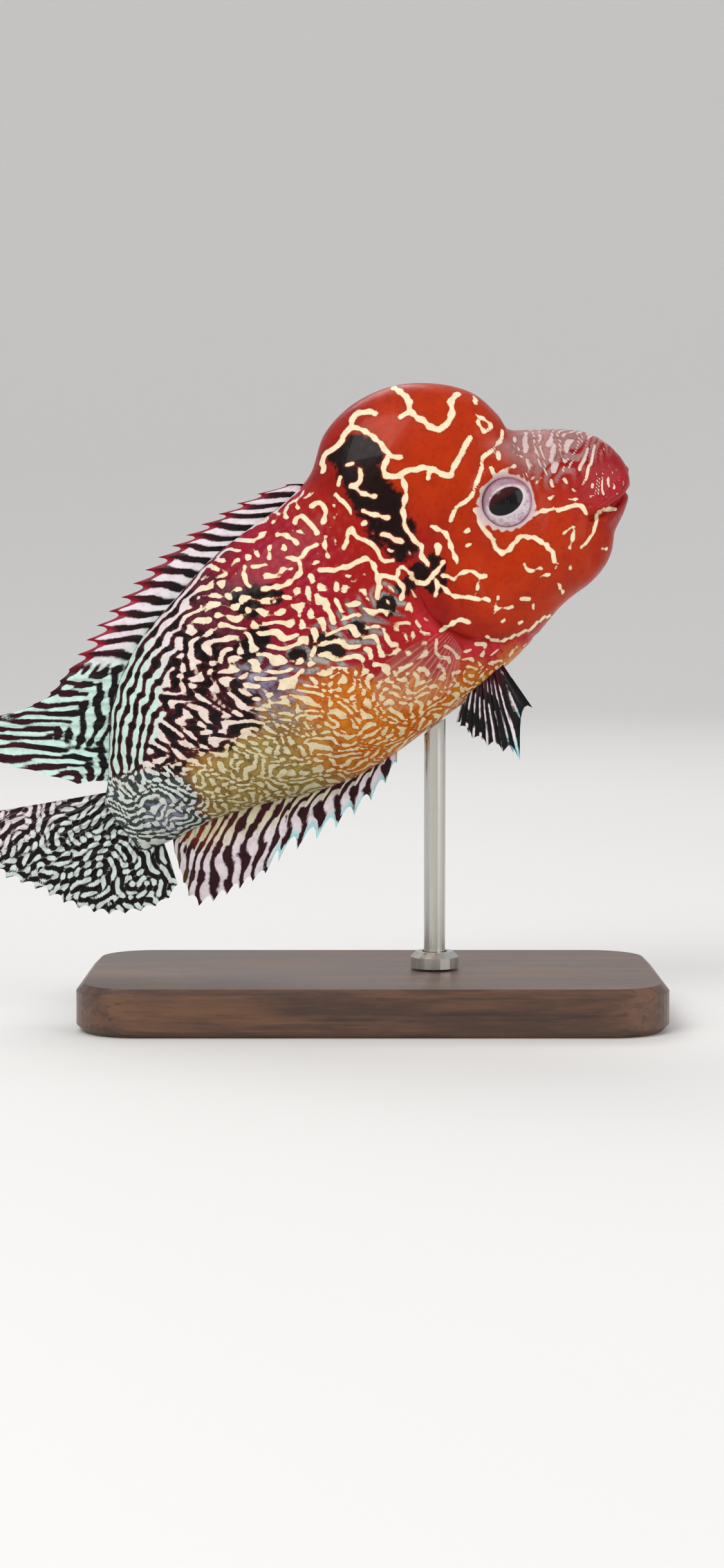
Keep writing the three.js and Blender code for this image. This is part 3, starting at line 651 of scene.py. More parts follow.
def line_depth(lines, x, z, rough):
    """How deep each place is inside the drawn lines, in millimetres: thinned half width less distance.

    rough makes the width uneven. The depth is below 0 outside the lines, and -2 far from any.
    """
    depth = np.full(x.shape, -2.0)
    for half, pixels in lines.values():
        path = smooth_line(on_fish(pixels))
        low, high = path.min(0) - 2.5, path.max(0) + 2.5
        near = (x > low[0]) & (x < high[0]) & (z > low[1]) & (z < high[1])
        if near.any():
            far = nearest(path, x[near], z[near])[0] + 0.12 * rough[near]
            depth[near] = np.maximum(depth[near], half * THINNED - far)
    return depth


def patches(spots, x, z, waver):
    """The field of round patches, above 0 inside: 1.6 times 1 less distance over radius, and wavered."""
    field = np.full(x.shape, -1.5)
    for px, py, radius in spots:
        cx, cz = on_fish((px, py))
        field = np.maximum(field, 1.6 * (1 - np.hypot(x - cx, z - cz) / radius))
    return field + waver


def beyond(pixels, x, z):
    """Signed distance to a line of the photograph's pixels, above 0 on the left of its run."""
    far, side = nearest(smooth_line(on_fish(pixels)), x, z)
    return far * side


def skin_places(x, y, z, along, around):
    """Where each point lies for the markings, which are the same on both sides but wander on the left.

    x and z place the face. side_x and side_z are the places that wander. around is counted from the belly,
    below 0 on the right. u and v are along and around, warped so that no spacing stays even. waver and
    rough are slow and quick noise, and eye is the distance from the eye's middle.
    """
    right = y < 0
    around = np.where(right, -around, around)
    worms = labyrinth(3, spots=0.3)
    return SimpleNamespace(
        x=x,
        z=z,
        right=right,
        side_x=np.where(right, x, x + 0.7 * np.sin(0.31 * z + 1) + 0.3),
        side_z=np.where(right, z, z + 0.7 * np.sin(0.27 * x + 2)),
        around=around,
        u=along + 0.4 * sample(worms, along / 3.7, around / 3.9 + 4),
        v=around + 0.4 * sample(worms, along / 3.9 + 6, around / 3.7),
        waver=sample(worms, along / 9, around / 9) + 0.6 * sample(worms, along / 4 + 5, around / 4),
        rough=sample(worms, along / 1.7 + 2, around / 1.7),
        eye=from_eye(x, z, EYE_MARK_OVAL),
    )


def skin_regions(at):
    """How far each point lies in each region of the skin, from 0 to 1."""
    x, z, wx, wz, waver = at.x, at.z, at.side_x, at.side_z, at.waver
    head = ramp(head_side(wx, wz) + 0.5 * waver, -1.4, 1.0)
    root = ramp(beyond(TAIL_EDGE, wx, wz) + 0.6 * waver, -1.2, 1.2)
    above_eye = ramp(z - EYE["z"] + 0.5 * (x - EYE["x"]), -1, 2)
    return SimpleNamespace(
        body=1 - head,
        head=head,
        root=root,
        gold=ramp(beyond(GOLD_EDGE, wx, wz) + 0.9 * waver, -2.5, 2.0) * (1 - head) * (1 - root),
        striped=ramp(beyond(STRIPE_EDGE, wx, wz) + 0.4 * waver, -0.9, 0.9) * (1 - head) * (1 - root),
        chest=(1 - head) * ramp(wx + 0.5 * waver, -42, -34) * (1 - ramp(wz, 2, 6)),
        behind=(1 - head) * ramp(-wx + 0.8 * waver, 33, 46),
        rearward=(1 - head) * ramp(-wx + 1.5 * waver - 0.12 * wz, 54, 67),
        gold_rear=ramp(-wx + waver, 52, 64),
        hump=ramp(bump(x, z, -20, 24, 15, 11) + bump(x, z, -18, 0, 14, 12), 0.2, 0.75),
        snout=ramp(x + 0.35 * z, -9, -4.5) * ramp(z, 6, 9.5) * (1 - ramp(z + 0.4 * waver, 16.5, 19)),
        lips=bump(x, z, -2.5, 4.2, 4.8, 3.4) * ramp(z, 0.4, 1.6),
        brow=np.exp(-(((at.eye - 5.2) / 0.8) ** 2)) * above_eye,
        socket=1 - ramp(at.eye, 4.3, 5.4),
    )


def grown_lines(at, region, from_back, look):
    """The field of the grown lines, above 0 on a line: each region's own pattern, blended by the regions."""
    worms, network, stripes = labyrinth(3, spots=0.3), labyrinth(4, spots=1.2), labyrinth(5, along=0.12)
    u, v = at.u, at.v

    def broken(period, bias, cut, spacing):
        """Short worms and dashes: a labyrinth less bias, cut across by a network of about that spacing."""
        cuts = ramp(sample(network, u / spacing + 8, v / (0.87 * spacing) + 8), 0.15, 0.9)
        return sample(worms, u / period + 3, v / period) - bias - cut * cuts

    # each side of the back has stripes of its own
    offset = np.where(at.right, 0.0, 7.7)
    depth = (from_back + 0.8 * (v - at.around)) / look.back_period
    high = sample(stripes, u / (1.9 * look.back_period) + offset, depth + offset)
    field = broken(look.shoulder_period, 0.28, 1.3, 2.3)
    for weight, grown in (
        (region.behind, broken(look.flank_period, -0.2, 1.25, 2.1)),
        (region.chest, broken(look.chest_period, 0.1, 1.0, 2.2)),
        (region.gold, broken(look.belly_period, -0.4 - 0.1 * region.gold_rear, 1.7, 1.3)),
        (region.root, broken(0.95 * look.belly_period, -0.5, 1.5, 1.25)),
        (region.striped, high + 0.3 - 0.8 * ramp(sample(network, u / 3.4, v / 2.8), 0.35, 1.0)),
    ):
        field = field * (1 - weight) + grown * weight
    field = field - 3.0 * region.head
    # pale flecks on the snout and lips, and above and before the eye
    flecked = np.maximum(np.maximum(region.snout, 0.97 * region.lips), 0.95 * region.brow)
    return np.maximum(field, broken(1.4, 0.1, 0.8, 1.4) - 2.5 * (1 - flecked))


def line_field(at, region, from_back, look):
    """All cream lines together, above 0 on a line: the grown ones, the drawn ones and the eye's pale ring."""
    drawn = line_depth({**HEAD_LINES, **SHOULDER_LINES}, at.side_x, at.side_z, at.rough)
    ring = 4.35 - at.eye + 0.2 * at.rough
    # the drawn marks keep the ground about them clear of grown ones
    grown = np.clip(grown_lines(at, region, from_back, look), -1.2, 1.3) - 2.4 * ramp(drawn, -1.2, -0.25)
    return np.maximum(grown, np.clip(np.maximum(3.4 * drawn, 2.0 * ring), -1.2, 1.2))


def dark_field(at, region):
    """Where the skin is black, above 0: the blotches and the ground of the rear flank."""
    blotches = patches(BLOTCHES, at.side_x, at.side_z, 0.35 * at.waver)
    rear = -1.3 + 2.3 * region.rearward * (1 - region.gold) * (1 - 0.75 * region.root)
    return np.maximum(blotches, rear) - 0.8 * region.gold - 3 * region.socket


def skin_colours(at, region, look):
    """The colours of the skin's ground, of its mottling and of its lines, region laid over region."""
    wx, wz, waver, rough = at.side_x, at.side_z, at.waver, at.rough
    snout_top = ramp(0.8 * rough + 1.6 * ramp(at.z, 8, 14), 0.0, 0.7)
    grounds = (
        ("orange_red", "brick", region.hump),
        ("red_flank", "crimson", region.body),
        ("shoulder_crimson", "crimson", region.body * ramp(-wx + waver, 38, 47)),
        ("maroon", "fin_black", region.body * ramp(-wx + 1.5 * waver, 50, 60)),
        ("rear_black", "maroon", region.rearward),
        ("chest_pink", "crimson", region.chest),
        ("gold", "amber", region.gold),
        ("olive_gold", "olive_brown", region.gold * region.gold_rear),
        ("tail_grey", "fin_black", region.root),
        ("pale_grey", "fin_black", 0.8 * ramp(patches(GREYS, wx, wz, 0.8 * rough), -0.1, 0.7)),
        ("lilac", "fin_black", 0.6 * ramp(patches(LILACS, wx, wz, 0.9 * rough), -0.1, 0.9)),
        ("snout_pink", "snout_grey", 0.9 * region.snout * snout_top),
        ("lip_pink", "crimson", 0.55 * region.lips),
    )
    tint = blend_colours(look.crimson, *((getattr(look, name), weight) for name, _, weight in grounds))
    deep = blend_colours(look.dark_red, *((getattr(look, name), weight) for _, name, weight in grounds))
    line_tint = blend_colours(
        look.cream,
        (look.pink_cream, 0.8 * region.chest),
        (look.pink_white, 0.65 * region.rearward),
        (look.gold_cream, region.gold),
        (look.olive_cream, region.gold * region.gold_rear),
        (look.pink_white, region.striped),
        (look.mint, region.striped * ramp(-wx, 66, 76)),
        (look.grey_mint, region.root),
        (look.silver, 0.9 * region.snout),
        (look.pink_cream, 0.6 * region.lips),
        (look.silver, region.socket),
    )
    return {"tint": tint, "deep": deep, "line_tint": line_tint, "rim_tint": line_tint * SKIN_RIM}


def skin_fields(points, along, from_back, around, look):
    """The skin's colours and its other fields at each point, from where it lies on the fish."""
    at = skin_places(*points.T, along, around)
    region = skin_regions(at)
    frayed = np.maximum(region.gold, 0.8 * region.root)
    return {
        "cream": line_field(at, region, from_back, look),
        "dark": dark_field(at, region),
        "scaly": np.clip(1 - region.head * 0.85, 0, 1),
        "fray": 1 + 1.3 * frayed + 0.5 * region.rearward * (1 - region.striped),
        "flow": np.stack([along, 0.9 * from_back, np.zeros_like(along)], -1),
        **skin_colours(at, region, look),
    }


# Fins


def rays(root, tip, notch, bow):
    """A row to each ray, as in the solids: root x and z, tip x and z, notch of the web beside it, and bow."""
    count = len(root)
    return np.column_stack([root, tip, np.broadcast_to(notch, count), np.broadcast_to(bow, count)])


def spaced(line, count):
    """Points spaced evenly along a smooth curve."""
    fine = smooth_line(line, 40)
    length = np.concatenate([[0], np.cumsum(np.linalg.norm(np.diff(fine, axis=0), axis=1))])
    at = np.linspace(0, length[-1], count)
    return np.column_stack([np.interp(at, length, fine[:, k]) for k in (0, 1)])


def dorsal_rays():
    """Short spines and then the soft rays' long lobe, all leaning back from the line of the back."""
    spines, soft = 15, 12
    i = np.arange(spines + soft)
    spine = i < spines
    t = np.where(spine, i / spines, (i - spines) / (soft - 1))
    first, middle, last = 14.35, 19.9, 23
    rib = np.where(spine, first + (middle - first) * t, middle + (last - middle) * t)
    foot = between(RIBS, rib)[:, :2]
    soft_length = [8.3, 9, 9.8, 11.8, 16.4, 22, 25.2, 24.2, 19.4, 13.6, 8.4, 4.4]
    length = np.concatenate([8.2 * (1 - 0.68 * np.exp(-i[:spines] / 1.5)), soft_length])
    lean = np.radians(np.where(spine, 35 - 2 * t, 33))
    way = np.column_stack([-np.cos(lean), np.sin(lean)])
    notch, bow = np.where(spine, 0.22, 0.05), np.where(spine, 0.25, 0.5)
    return rays(foot - 2.2 * way, foot + length[:, None] * way, notch, bow)


def anal_rays():
    """Spines and soft rays from the belly's line to the fin's drawn edge."""
    spines, soft = 8, 10
    i = np.arange(spines + soft)
    spine = i < spines
    t = np.where(spine, i / (spines - 1), (i - spines) / (soft - 1))
    foot = between(RIBS, np.where(spine, 15.9 + 2.6 * t, 18.75 + 3.75 * t))[:, 2:4]
    spine_edge = [(-50.2, -14.2), (-54.9, -16.3), (-61.5, -17.2), (-69.7, -16.8), (-73, -16.8)]
    soft_edge = [(-75.6, -17.2), (-80.6, -17), (-86.7, -15.9), (-86.9, -12.5), (-85.4, -7.4)]
    tip = np.concatenate([spaced(spine_edge, spines), spaced(soft_edge, soft)])
    way = (tip - foot) / np.linalg.norm(tip - foot, axis=1, keepdims=True)
    return rays(foot - 2 * way, tip, np.where(spine, 0.24, 0.08), 0)


def caudal_rays():
    """A rounded fan of rays from the tail root."""
    count = 18
    t = np.linspace(0, 1, count)
    edge = [(-105.4, 12.9), (-109, 10.4), (-110, 7), (-108.9, 3.6), (-106.3, 0.2), (-104.2, -3.2),
            (-101.6, -6.8), (-98, -9.9), (-93.4, -12), (-89.6, -12.4), (-87.4, -11.4)]
    return rays(np.column_stack([-86.6 + 0.9 * t, 4.9 - 9.6 * t]), spaced(edge, count), 0.05, 0)


def pelvic_rays():
    """A short first ray, a long second one, and shorter ones behind it."""
    tips = [(-28.8, -18.4), (-34.6, -24.1), (-36.0, -21.5), (-37.5, -19.5), (-38.7, -17.2), (-39.4, -14.6)]
    t = np.linspace(0, 1, len(tips))
    return rays(np.column_stack([-29.0 - 4.4 * t, -8.6 - 0.6 * t]), tips, [0.2, 0.2, 0.1, 0.1, 0.1, 0.1], 0)


def pectoral_rays():
    """A rounded fan about an upright root, in a frame of its own."""
    length = np.array([10.5, 13.6, 15.2, 15.6, 15.1, 14, 12.6, 11.1, 9.6, 8.2, 6.9, 5.7])
    t = np.linspace(0, 1, len(length))
    lean = np.radians(2 - 50 * t)
    root = np.column_stack([np.full(len(length), 1.6), 4.2 * (0.5 - t)])
    return rays(root, root + length[:, None] * np.column_stack([-np.cos(lean), np.sin(lean)]), 0.06, 0)


def fin_surface(rows, per_gap, steps, sway, thick):
    """A fin's two faces and rim, from its rays' rows.

    Columns run from root to edge at fractional rays, bowed by a half sine. The web's edge is drawn back
    between rays by the notch, and the thickness rises in a bell curve at each ray.
    """
    count = len(rows)
    at = np.linspace(0, count - 1, (count - 1) * per_gap + 1)
    row = between(rows, at)
    nearest_ray = np.abs(at - np.round(at))
    web = np.sin(math.pi * (at - np.floor(at)) ** 0.75)
    v = np.linspace(0, 1, steps + 1)[None, :]
    cut = (1 - np.clip(row[:, 4] * web, 0, 0.5))[:, None]
    x = row[:, 0:1] + (row[:, 2:3] - row[:, 0:1]) * v * cut
    z = row[:, 1:2] + (row[:, 3:4] - row[:, 1:2]) * v * cut + row[:, 5:6] * np.sin(math.pi * v * cut)
    ridge = np.exp(-((nearest_ray / 0.17) ** 2))[:, None]
    half = (0.11 - 0.05 * v) + ridge * (thick - (thick - 0.13) * v)
    half = half * np.sqrt(np.clip(1.02 - v**10, 0, 1))
    u = (at / (count - 1))[:, None]
    y = sway(u, v * cut)
    ripple = 0.10 * np.sin(2 * math.pi * at)[:, None] * v
    faces = [np.stack([x, y + ripple + side * half, z], -1) for side in (1, -1)]
    each = x.size
    index = np.arange(each).reshape(x.shape)
    one = grid_triangles(*x.shape, False)
    triangles = [one, one[:, ::-1] + each]
    for edge, turn in ((index[:, -1], 1), (index[:, 0], -1), (index[0], 1), (index[-1], -1)):
        joined = strip(edge, edge + each)
        triangles.append(joined if turn > 0 else joined[:, ::-1])
    along = np.linalg.norm(row[:, 2:4] - row[:, 0:2], axis=1)[:, None] * v * cut
    fields = {"ray": np.broadcast_to(at[:, None], x.shape), "share": np.broadcast_to(v, x.shape),
              "ridge": np.broadcast_to(ridge, x.shape), "far": along, "x": x, "z": z}
    both = {name: np.concatenate([a.ravel(), a.ravel()]) for name, a in fields.items()}
    return np.concatenate([f.reshape(-1, 3) for f in faces]), np.concatenate(triangles), both


def dorsal_marks(f, look):
    """Pale bars beside the spines, long stripes on the soft lobe, and stripes along its scaly foot."""
    ray, share, far, wander, gaps = f.ray, f.share, f.far, f.wander, f.gaps
    stripes = labyrinth(11, along=0.12)
    soft = ramp(ray, 13.5, 16)
    spiny = np.cos(2 * math.pi * (ray + 0.3 + 0.16 * wander)) - 1.6 * ramp(share, 0.84, 0.94)
    lobe = sample(stripes, far / 4.6, ray * 1.15 + 0.24 * wander) + 0.32 - 1.0 * gaps
    lobe = lobe - 1.6 * ramp(share + 0.06 * wander, 0.93, 1.0)
    foot = ramp(6.6 + 2.4 * wander - far, -1.3, 1.3) * soft
    across = sample(stripes, ray / 1.6, far / 1.9 + 0.3 + 0.25 * wander) + 0.3 - 1.0 * gaps
    cream = spiny * (1 - soft) + (lobe * (1 - foot) + across * foot) * soft
    tint = blend_colours(
        look.fin_black,
        (look.fin_maroon, 0.7 * ramp(share + 0.1 * wander, 0.3, 0.8)),
        (look.fin_crimson, ramp(share, 0.75, 0.95) * (1 - soft)),
    )
    line = blend_colours(
        look.mint,
        (look.pink_white, (1 - soft) * ramp(share, 0.1, 0.5)),
        (look.pink_white, 0.7 * (1 - ramp(ray, 8, 14))),
    )
    return cream, tint, line


def anal_marks(f, look):
    """A stripe to each ray, bent along the belly towards the root, and pale lappets on the spines' tips."""
    ray, share = f.ray, f.share
    bend = 1.8 * (1 - ramp(share, 0.0, 0.6))
    lappet = ramp(share, 0.78, 0.95) * (1 - ramp(ray, 7, 9))
    cream = np.cos(2 * math.pi * (ray + 0.5 + 0.2 * f.wander + bend)) * 0.9 + 0.3 - 0.8 * f.gaps
    cream = cream + 0.8 * lappet
    tint = blend_colours(
        look.fin_maroon,
        (look.fin_black, 0.5 * ramp(share, 0.1, 0.6)),
        (look.amber, 0.5 * ramp(ray, 10, 14) * (1 - ramp(share, 0.2, 0.5))),
        (look.fin_olive, ramp(ray, 13, 17) * ramp(share, 0.5, 0.9)),
    )
    line = blend_colours(
        look.olive_cream, (look.pink_white, ramp(share, 0.25, 0.6)), (look.fin_cyan, 0.8 * lappet)
    )
    return cream, tint, line


def caudal_marks(f, look):
    """Short worms all over, a little denser on the rays."""
    cuts = ramp(sample(labyrinth(13, spots=1.2), f.x / 1.9, f.z / 1.6), 0.15, 0.9)
    cream = sample(labyrinth(12, spots=0.3), f.x / 1.1, f.z / 1.0) * 0.9 + 0.15 * f.ridge + 0.4 - 1.5 * cuts
    tint = blend_colours(look.fin_black, (look.fin_maroon, 0.5 * ramp(f.z, 4, 12)))
    line = blend_colours(look.grey_mint, (look.pink_white, ramp(f.z, 3, 12)))
    return cream, tint, line


def pelvic_marks(f, look):
    """A pale line on each ray, and one between rays where they branch."""
    ray, share = f.ray, f.share
    on_rays = np.cos(4 * math.pi * (ray + 0.05 * f.wander))
    cream = on_rays - 0.4 - 0.7 * f.gaps - 0.8 * (1 - ramp(share, 0.1, 0.35))
    tint = blend_colours(look.fin_black, (look.fin_maroon, 1 - ramp(share, 0.2, 0.45)))
    front_tips = ramp(share, 0.75, 0.95) * (1 - ramp(ray, 1, 2.5))
    line = blend_colours(look.pink_white, (look.fin_cyan, front_tips))
    return cream, tint, line


def pectoral_marks(f, look):
    """Pale rays in a clear web that is pinker at its root."""
    tint = blend_colours(look.pink_white, (look.chest_pink, 0.5 * (1 - ramp(f.share, 0.1, 0.35))))
    return 1.4 * f.ridge - 0.7, tint, np.broadcast_to(np.asarray(look.cream), tint.shape)


# Each kind of fin: its rays, its marks, and how far it sways sideways, from the share u of the way from the
# first ray to the last and the share v of the way from root to edge
FINS = {
    "dorsal": (dorsal_rays, dorsal_marks, lambda u, v: 0.9 * np.sin(5 * u) * v * v),
    "anal": (anal_rays, anal_marks, lambda u, v: -0.7 * np.sin(4.5 * u) * v * v),
    "caudal": (caudal_rays, caudal_marks, lambda u, v: 1.6 * v * v * np.cos(3 * u)),
    "pelvic": (pelvic_rays, pelvic_marks, lambda u, v: 0.5 * np.sin(2.6 * u) * v * v),
    "pectoral": (pectoral_rays, pectoral_marks, lambda u, v: 0.5 * np.sin(2.6 * u) * v * v),
}


def fin_fields(kind, web, look):
    """A fin's colours and its other fields, from what fin_surface says of each point of its web."""
    f = SimpleNamespace(**web)
    worms = labyrinth(12, spots=0.3)
    f.wander = sample(worms, f.far / 9, f.ray / 5) + 0.5 * sample(worms, f.far / 4, f.ray / 3 + 3)
    f.gaps = ramp(sample(labyrinth(13, spots=1.2), f.far / 4.2, f.ray / 1.6), 0.4, 1.0)
    marks = FINS[kind][1]
    cream, tint, line = marks(f, look)
    one = np.ones_like(f.ray)
    fields = {
        "cream": np.clip(cream, -1.2, 1.3),
        "dark": -1.4 * one,
        "fray": one,
        "tint": tint,
        "deep": tint * 0.45,
        "line_tint": line,
        "rim_tint": line * FIN_RIM,
    }
    if kind == "pectoral":
        fields["cover"] = 0.03 + 0.15 * f.ridge * (1 - 0.6 * f.share) + 0.06 * (1 - ramp(f.share, 0.05, 0.2))
    return fields


# Settings


def shade(name, description, code):
    """A colour, whose default is given as #rrggbb."""
    return FloatVectorProperty(
        name=name, description=description, default=colour(code), subtype="COLOR", size=3, min=0, max=1
    )


def millimetres(name, description, default, low, high):
    """A length in millimetres, the unit that the fish is worked out in."""
    return FloatProperty(
        name=name, description=description + " in millimetres", default=default, min=low, max=high
    )


def whole(name, description, default, low, high, step=1):
    """A whole number."""
    return IntProperty(name=name, description=description, default=default, min=low, max=high, step=step)


def watts(name, description, default):
    """The power of a light in watts."""
    return FloatProperty(name=name, description=description, default=default, min=0, unit="POWER")


class FlowerhornColours(PropertyGroup):
    """Colours of the skin and fins, and the spacing of the lines."""

    orange_red: shade("Orange red", "Middle of the hump and the cheek", "#b43002")
    brick: shade("Brick", "Mottling on the hump and the cheek", "#9a2103")
    crimson: shade("Crimson", "Edges of the head", "#96100c")
    dark_red: shade("Dark red", "Mottling at the edges of the head", "#6c080e")
    red_flank: shade("Red flank", "Just behind the head", "#a21c10")
    shoulder_crimson: shade("Shoulder crimson", "Shoulder", "#9a1230")
    maroon: shade("Maroon", "Flank behind the shoulder", "#6e1a30")
    rear_black: shade("Rear black", "Ground of the rear flank", "#221a1c")
    chest_pink: shade("Chest pink", "Breast below the gill cover", "#c02634")
    gold: shade("Gold", "Ground of the belly", "#cc7c14")
    amber: shade("Amber", "Mottling of the belly", "#b23c10")
    olive_gold: shade("Olive gold", "Belly before the anal fin", "#a58c4a")
    olive_brown: shade("Olive brown", "Mottling before the anal fin", "#5a4422")
    tail_grey: shade("Tail grey", "Tail root", "#434e4c")
    pale_grey: shade("Pale grey", "Ground about the black spots", "#a9b0ac")
    lilac: shade("Lilac", "Sheen on the flank", "#a3a0bd")
    snout_pink: shade("Snout pink", "Thin skin on top of the snout", "#b0807c")
    snout_grey: shade("Snout grey", "Mottling on top of the snout", "#80605e")
    lip_pink: shade("Lip pink", "Lips", "#b83444")
    silver: shade("Silver", "Ring round the eye and marks on the snout", "#cdb4b6")
    cream: shade("Cream", "Lines on the head and shoulder", "#f2e2c0")
    pink_cream: shade("Pink cream", "Lines on the breast and lips", "#edcab6")
    gold_cream: shade("Gold cream", "Lines on the belly", "#ead3a8")
    olive_cream: shade("Olive cream", "Lines before the anal fin", "#d8d1ac")
    grey_mint: shade("Grey mint", "Lines on the tail", "#cfdad6")
    mint: shade("Mint", "Lines on the rear flank and the dorsal fin", "#c8e6dc")
    pink_white: shade("Pink white", "Lines below the dorsal fin", "#e4d8de")
    fin_black: shade("Fin black", "Ground of the fins", "#120d0f")
    fin_crimson: shade("Fin crimson", "Margin of the dorsal fin's spines", "#94102a")
    fin_maroon: shade("Fin maroon", "Ground near the fins' roots", "#420c1a")
    fin_olive: shade("Fin olive", "Rear edge of the anal fin", "#6a5a24")
    fin_cyan: shade("Fin cyan", "Tips of the front rays", "#98dce0")
    shoulder_period: millimetres("Shoulder marks", "Spacing of the shoulder's dashes", 2.5, 1, 6)
    flank_period: millimetres("Flank marks", "Spacing of the flank's dashes", 1.85, 1, 6)
    chest_period: millimetres("Breast lines", "Spacing of the breast's lines", 1.8, 0.8, 4)
    belly_period: millimetres("Belly lines", "Spacing of the belly's lines", 1.25, 0.8, 4)
    back_period: millimetres("Back stripes", "Spacing of the rear flank's stripes", 1.95, 0.8, 4)


class FlowerhornSkin(PropertyGroup):
    """Fineness of the body's skin and scales."""

    along: whole("Along", "Rows of points from the mouth to the tail root", 322, 60, 330)
    around: whole("Around", "Points round each row, an even number", 300, 40, 302, step=2)
    scale_size: millimetres("Scale size", "Width of one scale", 1.5, 0.5, 4)


class FlowerhornEye(PropertyGroup):
    """Sizes and colours of the eyes."""

    pupil_length: millimetres("Pupil length", "Half length of the pupil", 2.65, 0.5, 4)
    pupil_height: millimetres("Pupil height", "Half height of the pupil", 1.8, 0.5, 4)
    pupil_lift: millimetres("Pupil lift", "Pupil above the eye's middle", 0.2, -2, 2)
    iris: shade("Iris", "Silver ring round the pupil", "#d8cbd3")
    iris_shade: shade("Iris shade", "Streaks and upper edge of the ring", "#9a7480")
    pupil: shade("Pupil", "Dark of the pupil", "#050507")
    ember: shade("Ember", "Red brown above the pupil", "#3a0c0c")


class FlowerhornFins(PropertyGroup):
    """Fineness and thickness of the fins."""

    per_gap: whole("Columns", "Columns of points from one ray to the next", 8, 2, 16)
    steps: whole("Steps", "Points from a fin's root to its edge", 64, 8, 120)
    ray_thickness: millimetres("Ray thickness", "Half thickness of a ray at its root", 0.36, 0.1, 0.6)


class FlowerhornStand(PropertyGroup):
    """Finishes of the display stand."""

    walnut: shade("Walnut", "Dark wood of the base", "#3c2417")
    walnut_light: shade("Walnut light", "Paler grain of the base", "#6a452b")
    steel: shade("Steel", "Rod and collar", "#c4c2bc")


class FlowerhornStudio(PropertyGroup):
    """Floor, lights and camera."""

    floor: shade("Floor", "Plain pale floor", "#e8e6e2")
    distance: FloatProperty(name="Camera distance", description="From the camera to the fish", default=0.42,
                            min=0.1, max=3, unit="LENGTH")
    elevation: FloatProperty(name="Camera height angle", description="How far the camera looks down",
                             default=math.radians(4), min=0, max=1.5, subtype="ANGLE")
    key_power: watts("Key light", "Power of the main light", 5)
    fill_power: watts("Fill light", "Power of the fill light", 2.2)
    rim_power: watts("Rim light", "Power of the light behind", 2.5)
    sky: FloatProperty(name="Sky", description="Strength of the even light all round", default=0.62, min=0)


# Operators


class FLOWERHORN_OT_skin(Operator):
    """Build the one skin over the head, hump, jaw, trunk and tail"""

    bl_idname = "flowerhorn.skin"
    bl_label = "Skin"

    def execute(self, context):
        scene = context.scene
        look, size = scene.flowerhorn_colours, scene.flowerhorn_skin
        rib, along = even_ribs(size.along)
        angle, spacing = even_angles(rib, size.around)
        points = body_points(rib[:, None], angle)
        x, z = points[..., 0], points[..., 2]
        points = points + normals_of(points) * fine_relief(x, z)[..., None]
        number = np.arange(size.around)
        from_back = np.minimum(number, size.around - number) * spacing[:, None]
        from_belly = np.abs(number - size.around // 2) * spacing[:, None]
        along = np.broadcast_to(along[:, None], from_back.shape)
        ends = [points[0].mean(0) + (0.35, 0, 0.1), points[-1].mean(0) - (0.4, 0, 0)]
        flat = np.concatenate([points.reshape(-1, 3), ends])

        def with_ends(values):
            """A value for each point of the grid, and then for the points that close its two ends."""
            return np.concatenate([values.ravel(), values[0, :1], values[-1, :1]])

        fields = skin_fields(flat, with_ends(along), with_ends(from_back), with_ends(from_belly), look)
        material = pattern_material("wet_patterned_skin", scales=size.scale_size)
        skin = make_piece("skin", in_row(*flat.T), capped_grid(size.along, size.around), fields, material)
        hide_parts("head", "nuchal_hump", "lower_jaw", "trunk", "tail")
        return {"FINISHED"}


def eye_material(look):
    """A wet eye: a streaked iris with a red outer rim and a white inner one, and a pupil red brown above."""
    n = Nodes("wet_eye")
    n.shader_value(Roughness=0.25, Coat_Weight=0.35, Coat_Roughness=0.03, Specular_IOR_Level=0.08)
    streaks = n.noise(1400, 4, 0.7)
    iris = n.mix(n.step(streaks, 0.38, 0.66, 0.0, 0.7), look.iris, look.iris_shade)
    iris = n.mix(n.step(n.field("height"), -0.1, 0.9, 0.0, 0.85), iris, look.iris_shade)
    iris = n.mix(n.step(n.field("rim"), 0.74, 0.86, 0.0, 0.7), iris, colour("#8a3c44"))
    dark = n.mix(n.step(n.field("height"), 0.15, 0.75), look.pupil, look.ember)
    near_pupil = n.math("MULTIPLY", n.step(n.field("pupil"), -0.3, -0.1), n.step(streaks, 0.4, 0.6, 0.0, 0.6))
    ringed = n.mix(near_pupil, iris, colour("#f1e8ea"))
    n.shader_value(Base_Color=n.mix(n.step(n.field("pupil"), -0.06, 0.02), ringed, dark))
    return n.material


